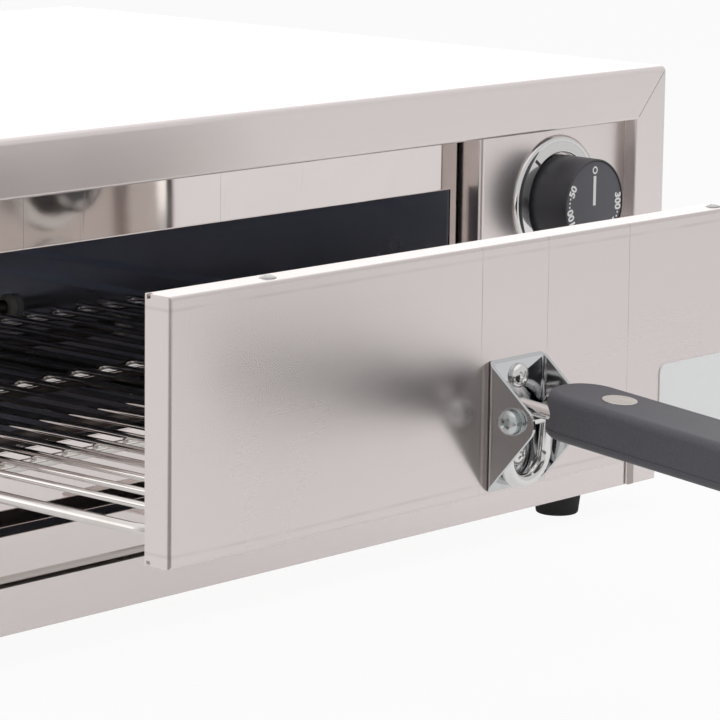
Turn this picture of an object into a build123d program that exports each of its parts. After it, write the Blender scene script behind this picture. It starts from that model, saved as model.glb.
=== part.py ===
from build123d import *
import math
import os

# Casing
foot_height = 13.0
sheet = 1.0
overcut = 1.0
case_bend = 2.5
frame_bend = 1.5
rail_width = 20.5
top_rail_height = 21.9
bottom_rail_height = 17.5
bottom_rail_return = 8.0
base_flange = 14.0
rear_lip = 12.0
rear_space = 4.5

# Front panels, set back from the front frame
fascia_recess = 17.5
panel_recess = 6.2
panel_bend = 2.0
hem_depth = 12.0
hem_round = 0.9
fascia_height = 22.0
sill_height = 28.4
panel_side_depth = 12.0
control_width = 92.8
control_gap = 2.2

# Cooking chamber
opening_width = 327.0
opening_height = 71.7
left_margin = 5.5
right_post = 3.5
chamber_depth = 322.0
roof_rise = 17.9
liner_flange = 6.0
blanket_gap = 1.0
blanket_thickness = 18.0
shield_gap = 5.5
shield_foot = 10.0

# Door
door_side_lap = 2.5
door_top_lap = 15.4
door_sill_gap = 1.1
door_depth = 11.0
door_gap = 0.3
door_bend = 1.5
drawn_out = 160.2
cover_inset = 2.0
notch = 1.6
rivet_inset = 49.0
rivet_head = 5.6
rivet_rise = 0.8
rivet_round = 0.5
rivet_shank = 3.0

# Rack
rack_side_gap = 1.5
rack_end_gap = 10.3
rack_rise = 10.1
frame_wire = 4.0
rack_wire = 2.5
rod_count = 21
rack_corner = 12.0
cross_bar_count = 2
rods_to_clip_count = 4
clip_width = 9.0
clip_sheet = 1.2
clip_tab = 10.0

# Rack runners
runner_sheet = 0.8
runner_width = 7.0
running_gap = 0.3
runner_headroom = 3.0
runner_end_gap = 3.0

# Handle bracket, wire and grip
bracket_width = 30.0
bracket_height = 45.6
bracket_sheet = 1.2
bracket_bend = 2.5
bracket_drop = 3.7
pivot_rise = 27.5
ear_reach = 23.3
ear_tip_radius = 6.0
bracket_screw_spacing = 27.0
bracket_screw_drop = 1.0
pivot_diameter = 4.0
bolt_head = 8.4
washer_diameter = 9.5
washer_thickness = 0.8
spring_washer_diameter = 7.6
spring_washer_thickness = 1.1
pivot_clearance = 0.05
sleeve_wall = 0.5
sleeve_end_gap = 1.3
handle_wire = 5.0
loop_drop = 24.3
stop_gap = 0.6
handle_droop = 5.5
grip_start = 6.5
grip_length = 120.0
grip_side_wall = 1.5
grip_thickness = 16.0
grip_rear_flat = 2.0
grip_front_flat = 6.0
grip_edge = 3.0
grip_cover = 3.5
grip_wire_depth = 58.0
grip_wire_clearance = 0.1
stud_diameter = 12.0
stud_rise = 0.4
stud_from_end = 26.0
stud_shank = 5.0
stud_recess = 1.0

# Crumb tray
tray_recess = 1.5
tray_front_gap = 1.5
tray_front_height = 17.0
tray_sill_lap = 2.0
tray_end_gap = 2.0
tray_sheet = 0.8
tray_wall = 10.0
tray_rear_gap = 7.0
tray_side_gap = 8.0
tray_tab_width = 60.0
tray_tab_reach = 9.0
tray_runner_width = 12.0
tray_runner_gap = 0.3

# Heating elements
element_diameter = 6.5
lower_element_drop = 18.5
upper_element_drop = 10.0
first_leg = 60.0
leg_pitch = 70.0
hairpin_pitch = 151.0
hairpin_inset = 26.0
element_tail = 26.0
terminal_pin = 3.0
terminal_pin_length = 9.0
insulator_diameter = 11.0
insulator_length = 6.0
insulator_inner_length = 4.0
insulator_neck = 8.5
support_width = 10.0
support_sheet = 1.2
support_rows = (110.0, 235.0)

# Controls
knob_x_from_side = 65.6
thermostat_drop = 51.6
timer_rise = 69.0
lamp_rise = 33.0
lamp_spacing = 36.0
knob_diameter = 37.6
knob_reach = 20.7
knob_panel_gap = 1.2
knob_edge = 1.0
knob_bore_depth = 13.0
shaft_diameter = 6.0
shaft_clearance = 0.05
shaft_reach = 14.0
shaft_hole = 8.0
bezel_diameter = 54.0
bezel_knob_gap = 1.0
bezel_rise = 2.6
bezel_round = 2.0
thermostat_width = 34.0
thermostat_block_height = 40.0
thermostat_block_depth = 26.0
thermostat_edge = 3.0
thermostat_tab_offset = 8.6
thermostat_tab_pitch = 12.0
timer_diameter = 44.0
timer_depth = 30.0
timer_tab_offset = 10.0
timer_tab_rise = 8.4
tab_width = 6.0
tab_sheet = 0.8
tab_reach = 8.0
lamp_lens = 9.0
lamp_ring = 13.0
lamp_ring_rise = 1.2
lamp_body_depth = 24.0
bulb_diameter = 6.0
bulb_length = 80.0
bulb_drop = 25.0
bulb_from_back = 26.0
capillary_from_back = 14.0
capillary_diameter = 2.0
capillary_offset = 5.0

# Power inlet and wiring
gland_from_side = 70.0
gland_rise = 33.0
gland_thread = 16.0
gland_hex = 22.0
gland_body = 9.0
gland_dome = 11.0
gland_dome_diameter = 20.2
gland_dome_round = 4.4
gland_bore = 8.0
gland_nut = 5.0
gland_nut_width = 26.0
terminal_block_length = 42.0
terminal_block_width = 20.0
terminal_block_height = 17.0
terminal_block_from_rear = 60.0
terminal_well = 6.0
terminal_well_depth = 8.5
wire_diameter = 2.4
wire_bend = 8.0
wire_bend_share = 0.45

# Feet and screws
foot_top_diameter = 21.5
foot_bottom_diameter = 18.0
foot_inset_x = 38.0
foot_inset_y = 24.0
foot_recess_diameter = 10.0
foot_recess_depth = 5.0
foot_screw = 4.0
nut_width = 7.0
nut_height = 3.2
screw_head = 7.6
screw_head_height = 2.4
screw_head_round = 1.3
screw_cross = 4.4
screw_shank = 4.0
screw_length = 8.0
screw_slot = 1.1
screw_slot_depth = 1.0
side_screw_height = 9.0
side_screw_rows = (30.0, 180.0, 330.0)

# Rear panel and vents
vent_width = 46.0
vent_height = 3.0
vent_pitch = 8.0
vent_rows = 6
vent_top_gap = 26.0
vent_columns = (-150.0, -90.0, 90.0, 150.0)
side_vent_rows = (225.0, 285.0)

# Blank plate on the door
plate_width = 70.0
plate_height = 30.0
plate_sheet = 0.5
plate_corner = 3.0
plate_from_end = 15.5
plate_rise = 3.0

# Worked-out places
floor = foot_height
bottom_rail_top = floor + bottom_rail_height
tray_front_bottom = bottom_rail_top + tray_front_gap
tray_front_top = tray_front_bottom + tray_front_height
sill_bottom = tray_front_top - tray_sill_lap
sill_top = sill_bottom + sill_height
opening_top = sill_top + opening_height
rail_bottom = opening_top + fascia_height
top = rail_bottom + top_rail_height
case_width = 2 * rail_width + left_margin + opening_width + right_post + control_gap + control_width
half = case_width / 2
inner_half = half - sheet
frame_half = half - rail_width
control_left = frame_half - control_width
post_right = control_left - control_gap
opening_right = post_right - right_post
opening_left = opening_right - opening_width
fascia_back = fascia_recess + sheet
chamber_front = fascia_back
chamber_rear = chamber_front + chamber_depth
chamber_roof = opening_top + roof_rise
case_depth = chamber_rear + sheet + blanket_thickness + rear_space
door_middle = (opening_left + opening_right) / 2
door_left = opening_left - door_side_lap
door_right = opening_right + door_side_lap
door_bottom = sill_top + door_sill_gap
door_top = opening_top + door_top_lap
door_closed = fascia_recess - door_gap - door_depth
door_front = door_closed - drawn_out
door_back = door_front + door_depth
cover_back = door_back - cover_inset
rack_height = sill_top + rack_rise
rack_left = opening_left + rack_side_gap + frame_wire / 2
rack_right = opening_right - rack_side_gap - frame_wire / 2
rack_width = rack_right - rack_left
rack_front = cover_back + frame_wire / 2
rack_rear = chamber_rear - rack_end_gap - drawn_out
rack_depth = rack_rear - rack_front
rod_height = rack_height + (frame_wire + rack_wire) / 2
runner_floor = rack_height - frame_wire / 2 - running_gap
tray_length = chamber_rear - tray_rear_gap - tray_recess
lower_element_height = rack_height - lower_element_drop
upper_element_height = chamber_roof - upper_element_drop
bulb_height = chamber_roof - bulb_drop
thermostat_height = top - thermostat_drop
timer_height = floor + timer_rise
lamp_height = floor + lamp_rise
gland_height = floor + gland_rise
knob_x = half - knob_x_from_side
shield_x = control_left + shield_gap
pivot_height = door_bottom + pivot_rise
bracket_middle = pivot_height - bracket_drop
plate_bottom = door_bottom + plate_rise
sleeve_length = bracket_width - 2 * (bracket_sheet + sleeve_end_gap)
leg_spacing = sleeve_length - handle_wire
grip_width = leg_spacing + handle_wire + 2 * grip_side_wall
bend_radius = (pivot_diameter / 2 + pivot_clearance + sleeve_wall) + handle_wire / 2
droop = math.radians(handle_droop)
pivot_out = (bend_radius * math.cos(droop) + loop_drop * math.sin(droop)
             + handle_wire / 2 + stop_gap + bracket_sheet)
pivot_y = door_front - pivot_out


def block(x0, x1, y0, y1, z0, z1):
    """A box between two corners."""
    return Pos((x0 + x1) / 2, (y0 + y1) / 2, (z0 + z1) / 2) * Box(x1 - x0, y1 - y0, z1 - z0)


def bar_x(diameter, x0, x1, y, z):
    """A round bar along X."""
    return Pos((x0 + x1) / 2, y, z) * Rot(0, 90, 0) * Cylinder(diameter / 2, x1 - x0)


def bar_y(diameter, x, y0, y1, z):
    """A round bar along Y."""
    return Pos(x, (y0 + y1) / 2, z) * Rot(90, 0, 0) * Cylinder(diameter / 2, y1 - y0)


def bar_z(diameter, x, y, z0, z1):
    """A round bar along Z."""
    return Pos(x, y, (z0 + z1) / 2) * Cylinder(diameter / 2, z1 - z0)


def group(shapes):
    """Separate solids that share one node."""
    return Compound([solid for shape in shapes for solid in shape.solids()])


def tube_along(path, diameter):
    """A round wire along a path."""
    start = Plane(origin=path @ 0, z_dir=path % 0)
    return sweep(start * Circle(diameter / 2), path)


facing = {"-Y": Rot(90, 0, 0), "+Y": Rot(-90, 0, 0), "-X": Rot(0, -90, 0),
          "+X": Rot(0, 90, 0), "+Z": Rot(0, 0, 0), "-Z": Rot(180, 0, 0)}


def pan_screw(x, y, z, side, length=screw_length, head=screw_head, shank=screw_shank):
    """A cross-slotted pan-head screw whose head's underside is at the point, head towards side."""
    cap = Pos(0, 0, screw_head_height / 2) * Cylinder(head / 2, screw_head_height)
    cap = fillet(cap.edges().group_by(Axis.Z)[-1], screw_head_round)
    slot = Pos(0, 0, screw_head_height) * Box(screw_cross, screw_slot, 2 * screw_slot_depth)
    cap = cap - slot - Rot(0, 0, 90) * slot
    pin = Pos(0, 0, -length / 2) * Cylinder(shank / 2, length)
    return Pos(x, y, z) * facing[side] * (cap + pin)


def hex_nut(x, y, z, side, width=nut_width, height=nut_height, bore=screw_shank):
    """A plain nut on the side of the point that the axis leads to."""
    nut = extrude(RegularPolygon(width / 2, 6, major_radius=False), height)
    nut -= Cylinder(bore / 2, 3 * height)
    return Pos(x, y, z) * facing[side] * nut


def folded_wrap(half_x, y0, y1, z0, z1, radius):
    """A block with the case's front and top folds rounded."""
    body = block(-half_x, half_x, y0, y1, z0, z1)
    front = body.edges().group_by(Axis.Y)[0]
    folds = front.filter_by(Axis.Z) + front.filter_by(Axis.X).group_by(Axis.Z)[-1]
    folds += body.edges().filter_by(Axis.Y).group_by(Axis.Z)[-1]
    return fillet(folds, radius)


def inner_wrap():
    """The space inside the wrap, rounded where its front and top fold."""
    return folded_wrap(inner_half, sheet, case_depth + sheet, floor - sheet, top - sheet,
                       case_bend - sheet)


def vent_block(x, y, z, across_y):
    """One vent slot's cutter, through a sheet that faces X or Y."""
    wide, deep = (3 * sheet, vent_width / 2) if across_y else (vent_width / 2, 3 * sheet)
    return block(x - wide, x + wide, y - deep, y + deep, z, z + vent_height)


def outer_casing():
    """The wrap: two sides, top, front rails with their returns, and rear lips."""
    shell = folded_wrap(half, 0, case_depth, floor, top, case_bend)
    shell -= inner_wrap()
    shell -= block(-frame_half, frame_half, -sheet, 2 * case_bend, floor - sheet, rail_bottom)
    shell += block(-frame_half - sheet, -frame_half, 0, fascia_recess, bottom_rail_top, top - sheet)
    shell += block(frame_half, frame_half + sheet, 0, panel_recess, bottom_rail_top, top - sheet)
    shell += block(-frame_half, control_left, 0, fascia_recess, rail_bottom, rail_bottom + sheet)
    shell += block(control_left, frame_half, 0, panel_recess, rail_bottom, rail_bottom + sheet)
    shell = fillet(frame_folds(shell), frame_bend)
    rear = case_depth - sheet
    shell += block(-inner_half, -inner_half + rear_lip, rear, case_depth, floor + base_flange, top - sheet)
    shell += block(inner_half - rear_lip, inner_half, rear, case_depth, floor + base_flange, top - sheet)
    shell += block(-inner_half, inner_half, rear, case_depth, top - sheet - rear_lip, top - sheet)
    for y in side_vent_rows:
        for row in range(vent_rows):
            z = top - vent_top_gap - row * vent_pitch
            shell -= vent_block(half, y, z, True)
            shell -= vent_block(-half, y, z, True)
    for x, y, z, side in side_screw_places() + rear_screw_places():
        shell -= Pos(x, y, z) * facing[side] * Cylinder(screw_shank / 2, 6 * sheet)
    return shell


def frame_folds(shell):
    """The front edges where the frame's rails fold back round the opening."""
    front = shell.edges().filter_by_position(Axis.Y, -0.01, 0.01)
    above = front.filter_by_position(Axis.Z, bottom_rail_top - 0.01, rail_bottom + 0.01)
    return [edge for edge in above if abs(edge.center().X) < frame_half + 0.01]


def side_screw_places():
    """The screws that join the wrap to the base."""
    z = floor + side_screw_height
    return [(side * half, y, z, name) for side, name in ((-1, "-X"), (1, "+X")) for y in side_screw_rows]


def rear_screw_places():
    """The screws that hold the rear panel to the wrap's lips and to the base."""
    x = inner_half - rear_lip / 2
    rows = [floor + base_flange + rear_lip, (floor + top) / 2, top - sheet - rear_lip / 2]
    return [(side * x, case_depth + sheet, z, "+Y") for side in (-1, 1) for z in rows]


def base_panel():
    """The bottom sheet with its front rail, side flanges and rear flange."""
    low = floor
    panel = block(-inner_half, inner_half, sheet, case_depth, low, low + sheet)
    panel += block(-inner_half, inner_half, sheet, 2 * sheet, low, bottom_rail_top)
    panel += block(-frame_half, frame_half, sheet, sheet + bottom_rail_return,
                   bottom_rail_top - sheet, bottom_rail_top)
    for side in (-1, 1):
        inner, outer = sorted((side * inner_half, side * (inner_half - sheet)))
        panel += block(inner, outer, 2 * sheet, case_depth - 2 * sheet, low, low + base_flange)
    panel += block(-inner_half, inner_half, case_depth - sheet, case_depth, low, low + base_flange)
    for x, y in foot_places():
        panel -= bar_z(foot_screw, x, y, low - sheet, low + 2 * sheet)
    for x, y, z, side in side_screw_places():
        panel -= Pos(x, y, z) * facing[side] * Cylinder(screw_shank / 2, 6 * sheet)
    return panel & inner_wrap()


def rear_panel():
    """The back sheet with its vents, screw holes and gland hole."""
    y = case_depth
    panel = block(-half, half, y, y + sheet, floor, top)
    for x in vent_columns:
        for row in range(vent_rows):
            panel -= vent_block(x, y, top - vent_top_gap - row * vent_pitch, False)
    for x, _, z, side in rear_screw_places():
        panel -= Pos(x, y, z) * facing[side] * Cylinder(screw_shank / 2, 6 * sheet)
    return panel - bar_y(gland_thread, gland_x(), y - sheet, y + 2 * sheet, gland_height)


def gland_x():
    """The gland's place across the rear panel."""
    return half - gland_from_side


def folded_edge(panel, z, radius):
    """Rounds a panel's front edge at the given height."""
    front = panel.edges().filter_by(Axis.X).group_by(Axis.Y)[0]
    return fillet(front.filter_by_position(Axis.Z, z - 0.01, z + 0.01), radius)


def front_fascia():
    """The bright plate over the opening, with two posts and a folded lower hem."""
    y0, y1 = fascia_recess, fascia_back
    hem = block(opening_left, opening_right, y0, y0 + hem_depth, opening_top, opening_top + 2 * sheet)
    inner = block(opening_left, opening_right, y1, y0 + hem_depth, opening_top + sheet,
                  opening_top + 2 * sheet)
    plate = block(-inner_half, post_right, y0, y1, opening_top, top - sheet) + (hem - inner)
    plate = folded_edge(plate, opening_top, hem_round)
    plate += block(-inner_half, opening_left, y0, y1, sill_top, opening_top + sheet)
    plate += block(opening_right, post_right, y0, y1, sill_top, opening_top + sheet)
    return plate & inner_wrap()


def sill_panel():
    """The fixed bright plate below the opening, hemmed at its top and bottom."""
    y0, y1 = fascia_recess, fascia_back
    panel = block(-inner_half, post_right, y0, y1, sill_bottom, sill_top)
    panel += block(opening_left, opening_right, y0, y0 + hem_depth / 2, sill_top - sheet, sill_top)
    panel += block(opening_left, opening_right, y0, y0 + hem_depth / 2, sill_bottom, sill_bottom + sheet)
    panel = folded_edge(panel, sill_top, hem_round)
    return folded_edge(panel, sill_bottom, hem_round)


def control_panel():
    """The panel beside the opening that carries the knobs and lamps."""
    y0 = panel_recess
    low, high = bottom_rail_top + sheet, top - sheet
    outer = block(control_left, inner_half, y0, y0 + panel_side_depth, low, high)
    outer = fillet(outer.edges().filter_by(Axis.Z).group_by(Axis.Y)[0].group_by(Axis.X)[0], panel_bend)
    inner = block(control_left + sheet, inner_half + sheet, y0 + sheet, y0 + 2 * panel_side_depth,
                  low - sheet, high + sheet)
    inner = fillet(inner.edges().filter_by(Axis.Z).group_by(Axis.Y)[0].group_by(Axis.X)[0],
                   panel_bend - sheet)
    panel = outer - inner
    for z in (thermostat_height, timer_height):
        panel -= bar_y(shaft_hole, knob_x, y0 - sheet, y0 + 2 * sheet, z)
    for x in lamp_places():
        panel -= bar_y(lamp_lens, x, y0 - sheet, y0 + 2 * sheet, lamp_height)
    return panel & inner_wrap()


def lamp_places():
    """The two lamps stand side by side between the knobs."""
    return [knob_x - lamp_spacing / 2, knob_x + lamp_spacing / 2]


def cavity_liner():
    """The chamber's roof, two walls and back, flanged against the front plates."""
    y0, y1 = chamber_front, chamber_rear
    low = sill_bottom
    shell = block(opening_left - sheet, opening_right + sheet, y0, y1 + sheet, low, chamber_roof + sheet)
    shell -= block(opening_left, opening_right, y0 - sheet, y1, low - sheet, chamber_roof)
    shell += block(opening_left - liner_flange, opening_left, y0, y0 + sheet, sill_top, chamber_roof)
    for z in (lower_element_height, upper_element_height):
        for y in element_legs():
            shell -= bar_x(insulator_neck, opening_right - sheet, opening_right + 3 * sheet, y, z)
    return shell - capillary_hole(opening_right)


def capillary_row():
    """The depth at which the thermostat's thin tube leaves the chamber."""
    return chamber_rear - capillary_from_back


def capillary_hole(x):
    """The cutter for the thin tube's hole through a sheet at x."""
    return bar_x(2 * capillary_diameter, x - 2 * sheet, x + 3 * sheet, capillary_row(), bulb_height)


def element_legs():
    """Depths of the four straight legs of each level."""
    return [first_leg + pair * hairpin_pitch + leg * leg_pitch for pair in (0, 1) for leg in (0, 1)]


def hairpin(y, z):
    """One tubular heating element: two legs joined by a half round at the left."""
    left = opening_left + hairpin_inset + leg_pitch / 2
    right = opening_right + element_tail
    first = Line((right, y, z), (left, y, z))
    turn = ThreePointArc((left, y, z), (left - leg_pitch / 2, y + leg_pitch / 2, z),
                         (left, y + leg_pitch, z))
    last = Line((left, y + leg_pitch, z), (right, y + leg_pitch, z))
    return tube_along(Wire([first, turn, last]), element_diameter)


def elements(z):
    """The two hairpins of one level."""
    return group(hairpin(first_leg + pair * hairpin_pitch, z) for pair in (0, 1))


def element_insulators():
    """Ceramic spools in the chamber's right wall, one round each leg."""
    x0, x1 = opening_right - insulator_inner_length, opening_right + sheet + insulator_length
    spools = []
    for z in (lower_element_height, upper_element_height):
        for y in element_legs():
            spool = bar_x(insulator_diameter, x0, opening_right, y, z)
            spool += bar_x(insulator_neck, x0, x1, y, z)
            spool += bar_x(insulator_diameter, opening_right + sheet, x1, y, z)
            spools.append(spool - bar_x(element_diameter, x0 - overcut, x1 + overcut, y, z))
    return group(spools)


def terminal_pins():
    """The cold ends of the elements."""
    x0 = opening_right + element_tail
    return group(bar_x(terminal_pin, x0, x0 + terminal_pin_length, y, z)
                 for z in (lower_element_height, upper_element_height) for y in element_legs())


def element_supports():
    """Flat bars from wall to wall: the lower elements lie on two and two hold the upper ones."""
    bars = []
    for x in support_columns():
        for z, over in ((lower_element_height, -1), (upper_element_height, 1)):
            near = z + over * element_diameter / 2
            low, high = sorted((near, near + over * support_sheet))
            bars.append(block(x - support_width / 2, x + support_width / 2, chamber_front, chamber_rear,
                              low, high))
    return group(bars)


def support_columns():
    """Places of the support bars across the chamber."""
    return [opening_left + row for row in support_rows]


def runner(side):
    """A rolled channel on a chamber wall that the rack's side wire slides in."""
    wall = opening_left if side < 0 else opening_right
    y0, y1 = chamber_front + runner_end_gap, chamber_rear
    ceiling = rod_height + rack_wire / 2 + runner_headroom
    web_x = sorted((wall, wall - side * runner_sheet))
    lip_x = sorted((wall, wall - side * runner_width))
    channel = block(*web_x, y0, y1, runner_floor - runner_sheet, ceiling + runner_sheet)
    channel += block(*lip_x, y0, y1, runner_floor - runner_sheet, runner_floor)
    return channel + block(*lip_x, y0, y1, ceiling, ceiling + runner_sheet)


def insulation():
    """Mineral wool over, behind and at the left of the chamber."""
    gap, deep = blanket_gap, blanket_thickness
    y0, y1 = chamber_front + hem_depth, chamber_rear + sheet
    roof = chamber_roof + sheet
    over = block(opening_left, opening_right, y0, y1, roof, min(roof + deep, top - sheet - gap))
    left = block(opening_left - sheet - deep, opening_left - sheet, y0, y1, sill_bottom, roof)
    back = block(opening_left, opening_right, y1, y1 + deep, sill_bottom, roof)
    return group([over, left, back])


def heat_shield():
    """The plate between the chamber and the controls, standing on the base."""
    y0, y1 = panel_recess + panel_side_depth + shield_gap, case_depth - rear_lip
    shield = block(shield_x, shield_x + sheet, y0, y1, floor + sheet, top - rear_lip - sheet)
    shield += block(shield_x, shield_x + shield_foot, y0, y1, floor + sheet, floor + 2 * sheet)
    for z in (lower_element_height, upper_element_height):
        for y in element_legs():
            shield -= bar_x(insulator_diameter, shield_x - sheet, shield_x + 2 * sheet, y, z)
    return shield - capillary_hole(shield_x)


def tray_runner(side):
    """An angle on the base that the crumb tray slides on."""
    wall = opening_left if side < 0 else opening_right
    ledge = tray_floor() - tray_runner_gap
    y0, y1 = chamber_front + runner_end_gap, chamber_rear
    web = sorted((wall, wall + side * sheet))
    shelf = sorted((wall + side * sheet, wall - side * tray_runner_width))
    angle = block(*web, y0, y1, floor + sheet, ledge)
    return angle + block(*shelf, y0, y1, ledge - sheet, ledge)


def tray_floor():
    """Underside of the crumb tray."""
    return tray_front_bottom + tray_sheet


def crumb_tray():
    """A shallow pan with a front that closes the slot below the sill, and a finger tab."""
    y0, y1 = tray_recess, tray_recess + tray_length
    x0, x1 = opening_left + tray_side_gap, opening_right - tray_side_gap
    low = tray_floor()
    pan = block(x0, x1, y0, y1, low, low + tray_wall)
    pan -= block(x0 + tray_sheet, x1 - tray_sheet, y0 + tray_sheet, y1 - tray_sheet,
                 low + tray_sheet, low + 2 * tray_wall)
    pan += block(tray_end_gap - frame_half, post_right, y0, y0 + tray_sheet,
                 tray_front_bottom, tray_front_top)
    tab = block(door_middle - tray_tab_width / 2, door_middle + tray_tab_width / 2,
                y0 - tray_tab_reach, y0, tray_front_top - 2 * tray_sheet, tray_front_top - tray_sheet)
    corners = tab.edges().filter_by(Axis.Z).group_by(Axis.Y)[0]
    return pan + fillet(corners, tray_tab_reach / 2)


def bezel(z):
    """A bright stepped ring round a knob."""
    y0 = panel_recess
    ring = bar_y(bezel_diameter, knob_x, y0 - bezel_rise, y0, z)
    ring = fillet(ring.edges().group_by(Axis.Y)[0], bezel_round)
    bore = knob_diameter + 2 * bezel_knob_gap
    return ring - bar_y(bore, knob_x, y0 - 2 * bezel_rise, y0 + overcut, z)


def knob(z):
    """A deep round knob, bored for its shaft."""
    back = panel_recess - knob_panel_gap
    front = panel_recess - knob_reach
    body = bar_y(knob_diameter, knob_x, front, back, z)
    body = fillet(body.edges().group_by(Axis.Y)[0], knob_edge)
    return body - bar_y(shaft_diameter, knob_x, back - knob_bore_depth, back + overcut, z)


def control_shaft(z, depth):
    """The shaft from inside the knob to inside the control behind the panel."""
    front = panel_recess - knob_panel_gap - knob_bore_depth
    return bar_y(shaft_diameter, knob_x, front, panel_recess + sheet + depth, z)


def thermostat_body():
    """The thermostat's case with its bush through the panel."""
    y0 = panel_recess + sheet
    z = thermostat_height
    case = block(knob_x - thermostat_width / 2, knob_x + thermostat_width / 2, y0,
                 y0 + thermostat_block_depth, z - thermostat_block_height / 2,
                 z + thermostat_block_height / 2)
    case = fillet(case.edges().filter_by(Axis.Y), thermostat_edge)
    back = y0 + thermostat_block_depth
    x = knob_x - thermostat_tab_offset
    for step in (-1, 0, 1):
        middle = z + step * thermostat_tab_pitch
        case += block(x - tab_sheet / 2, x + tab_sheet / 2, back, back + tab_reach,
                      middle - tab_width / 2, middle + tab_width / 2)
    return case - shaft_bore(z)


def timer_body():
    """The round timer with its back terminals."""
    y0 = panel_recess + sheet
    case = bar_y(timer_diameter, knob_x, y0, y0 + timer_depth, timer_height)
    back = y0 + timer_depth
    z = timer_height + timer_tab_rise
    for x in (knob_x - timer_tab_offset, knob_x + timer_tab_offset):
        case += block(x - tab_width / 2, x + tab_width / 2, back, back + tab_reach,
                      z - tab_sheet / 2, z + tab_sheet / 2)
    return case - shaft_bore(timer_height)


def shaft_bore(z):
    """The running bore that both controls have."""
    diameter = shaft_diameter + 2 * shaft_clearance
    return bar_y(diameter, knob_x, panel_recess, panel_recess + sheet + shaft_reach + overcut, z)


def thermostat_bulb():
    """The sensing bulb on the chamber's wall."""
    x = opening_right - bulb_diameter / 2
    y = chamber_rear - bulb_from_back
    return bar_y(bulb_diameter, x, y - bulb_length, y, bulb_height)


def capillary_tube():
    """The thin tube from the bulb, through the wall and the shield, to the thermostat's back."""
    x0 = opening_right - bulb_diameter / 2
    x1 = knob_x + capillary_offset
    bulb_end = chamber_rear - bulb_from_back
    case_back = panel_recess + sheet + thermostat_block_depth
    route = FilletPolyline((x0, bulb_end, bulb_height), (x0, capillary_row(), bulb_height),
                           (x1, capillary_row(), bulb_height), (x1, case_back, bulb_height),
                           radius=2 * capillary_diameter)
    return tube_along(route, capillary_diameter)


def lamp(x):
    """An indicator lamp: lens and ring before the panel, body behind it."""
    y0 = panel_recess
    ring = bar_y(lamp_ring, x, y0 - lamp_ring_rise, y0, lamp_height)
    ring = fillet(ring.edges().group_by(Axis.Y)[0], lamp_ring_rise / 2)
    lens = bar_y(lamp_lens, x, y0 - 3 * lamp_ring_rise, y0 + lamp_body_depth, lamp_height)
    return ring + fillet(lens.edges().group_by(Axis.Y)[0], lamp_ring_rise)


def gland():
    """The cord entry at the back: hexagon, dome and thread, with an open bore."""
    x, y, z = gland_x(), case_depth + sheet, gland_height
    hexagon = extrude(RegularPolygon(gland_hex / 2, 6, major_radius=False), gland_body)
    dome = Pos(0, 0, gland_body + gland_dome / 2) * Cylinder(gland_dome_diameter / 2, gland_dome)
    dome = fillet(dome.edges().group_by(Axis.Z)[-1], gland_dome_round)
    thread_length = sheet + 2 * gland_nut
    thread = Pos(0, 0, -thread_length / 2) * Cylinder(gland_thread / 2, thread_length)
    body = hexagon + dome + thread - Cylinder(gland_bore / 2, 6 * gland_hex)
    return Pos(x, y, z) * facing["+Y"] * body


def gland_locknut():
    """The nut that holds the cord entry from inside."""
    return hex_nut(gland_x(), case_depth, gland_height, "-Y", gland_nut_width, gland_nut, gland_thread)


def terminal_block():
    """The ceramic block on the base with three through screws' wells."""
    x, y = terminal_block_place()
    z0 = floor + sheet
    z1 = z0 + terminal_block_height
    body = block(x - terminal_block_length / 2, x + terminal_block_length / 2,
                 y - terminal_block_width / 2, y + terminal_block_width / 2, z0, z1)
    for step in (-1, 0, 1):
        well = x + step * terminal_block_length / 3
        body -= bar_z(terminal_well, well, y, z1 - terminal_well_depth, z1 + sheet)
    return body


def terminal_block_place():
    """The block stands in the control bay, near the cord entry."""
    return knob_x, case_depth - terminal_block_from_rear


def wiring():
    """Insulated leads from the terminal block to the controls, and on to the elements."""
    x, block_y = terminal_block_place()
    block_top = floor + sheet + terminal_block_height
    timer_tab_y = panel_recess + sheet + timer_depth + tab_reach
    thermo_tab_y = panel_recess + sheet + thermostat_block_depth + tab_reach
    timer_tab_z = timer_height + timer_tab_rise
    left_x, right_x = x - timer_tab_offset, x + timer_tab_offset
    thermo_x = knob_x - thermostat_tab_offset
    near = block_y - terminal_block_width / 3
    far = block_y + terminal_block_width / 3
    low_tab, middle_tab, high_tab = [thermostat_height + step * thermostat_tab_pitch for step in (-1, 0, 1)]
    loop_y = timer_tab_y + 4 * wire_bend
    pin_x = opening_right + element_tail + terminal_pin_length
    leg_y = element_legs()[1]
    routes = [
        [(left_x, near, block_top), (left_x, near, timer_tab_z), (left_x, timer_tab_y, timer_tab_z)],
        [(thermo_x, far, block_top), (thermo_x, far, low_tab), (thermo_x, thermo_tab_y, low_tab)],
        [(right_x, timer_tab_y, timer_tab_z), (right_x, loop_y, timer_tab_z),
         (right_x, loop_y, high_tab), (thermo_x, loop_y, high_tab), (thermo_x, thermo_tab_y, high_tab)],
        [(thermo_x, thermo_tab_y, middle_tab), (thermo_x, leg_y, middle_tab),
         (thermo_x, leg_y, upper_element_height), (pin_x, leg_y, upper_element_height)],
    ]
    return group(tube_along(lead_path(route), wire_diameter) for route in routes)


def lead_path(route):
    """A lead's path, whose bends leave room on its shortest run."""
    shortest = min(math.dist(near, far) for near, far in zip(route, route[1:]))
    return FilletPolyline(*route, radius=min(wire_bend, wire_bend_share * shortest))


def element_links():
    """Bare links from pin to pin, which join the legs of each level."""
    x = opening_right + element_tail + terminal_pin_length / 2
    links = []
    for z in (lower_element_height, upper_element_height):
        legs = element_legs()
        for near, far in zip(legs, legs[1:]):
            links.append(bar_y(wire_diameter, x, near + terminal_pin / 2, far - terminal_pin / 2, z))
    return group(links)


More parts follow.
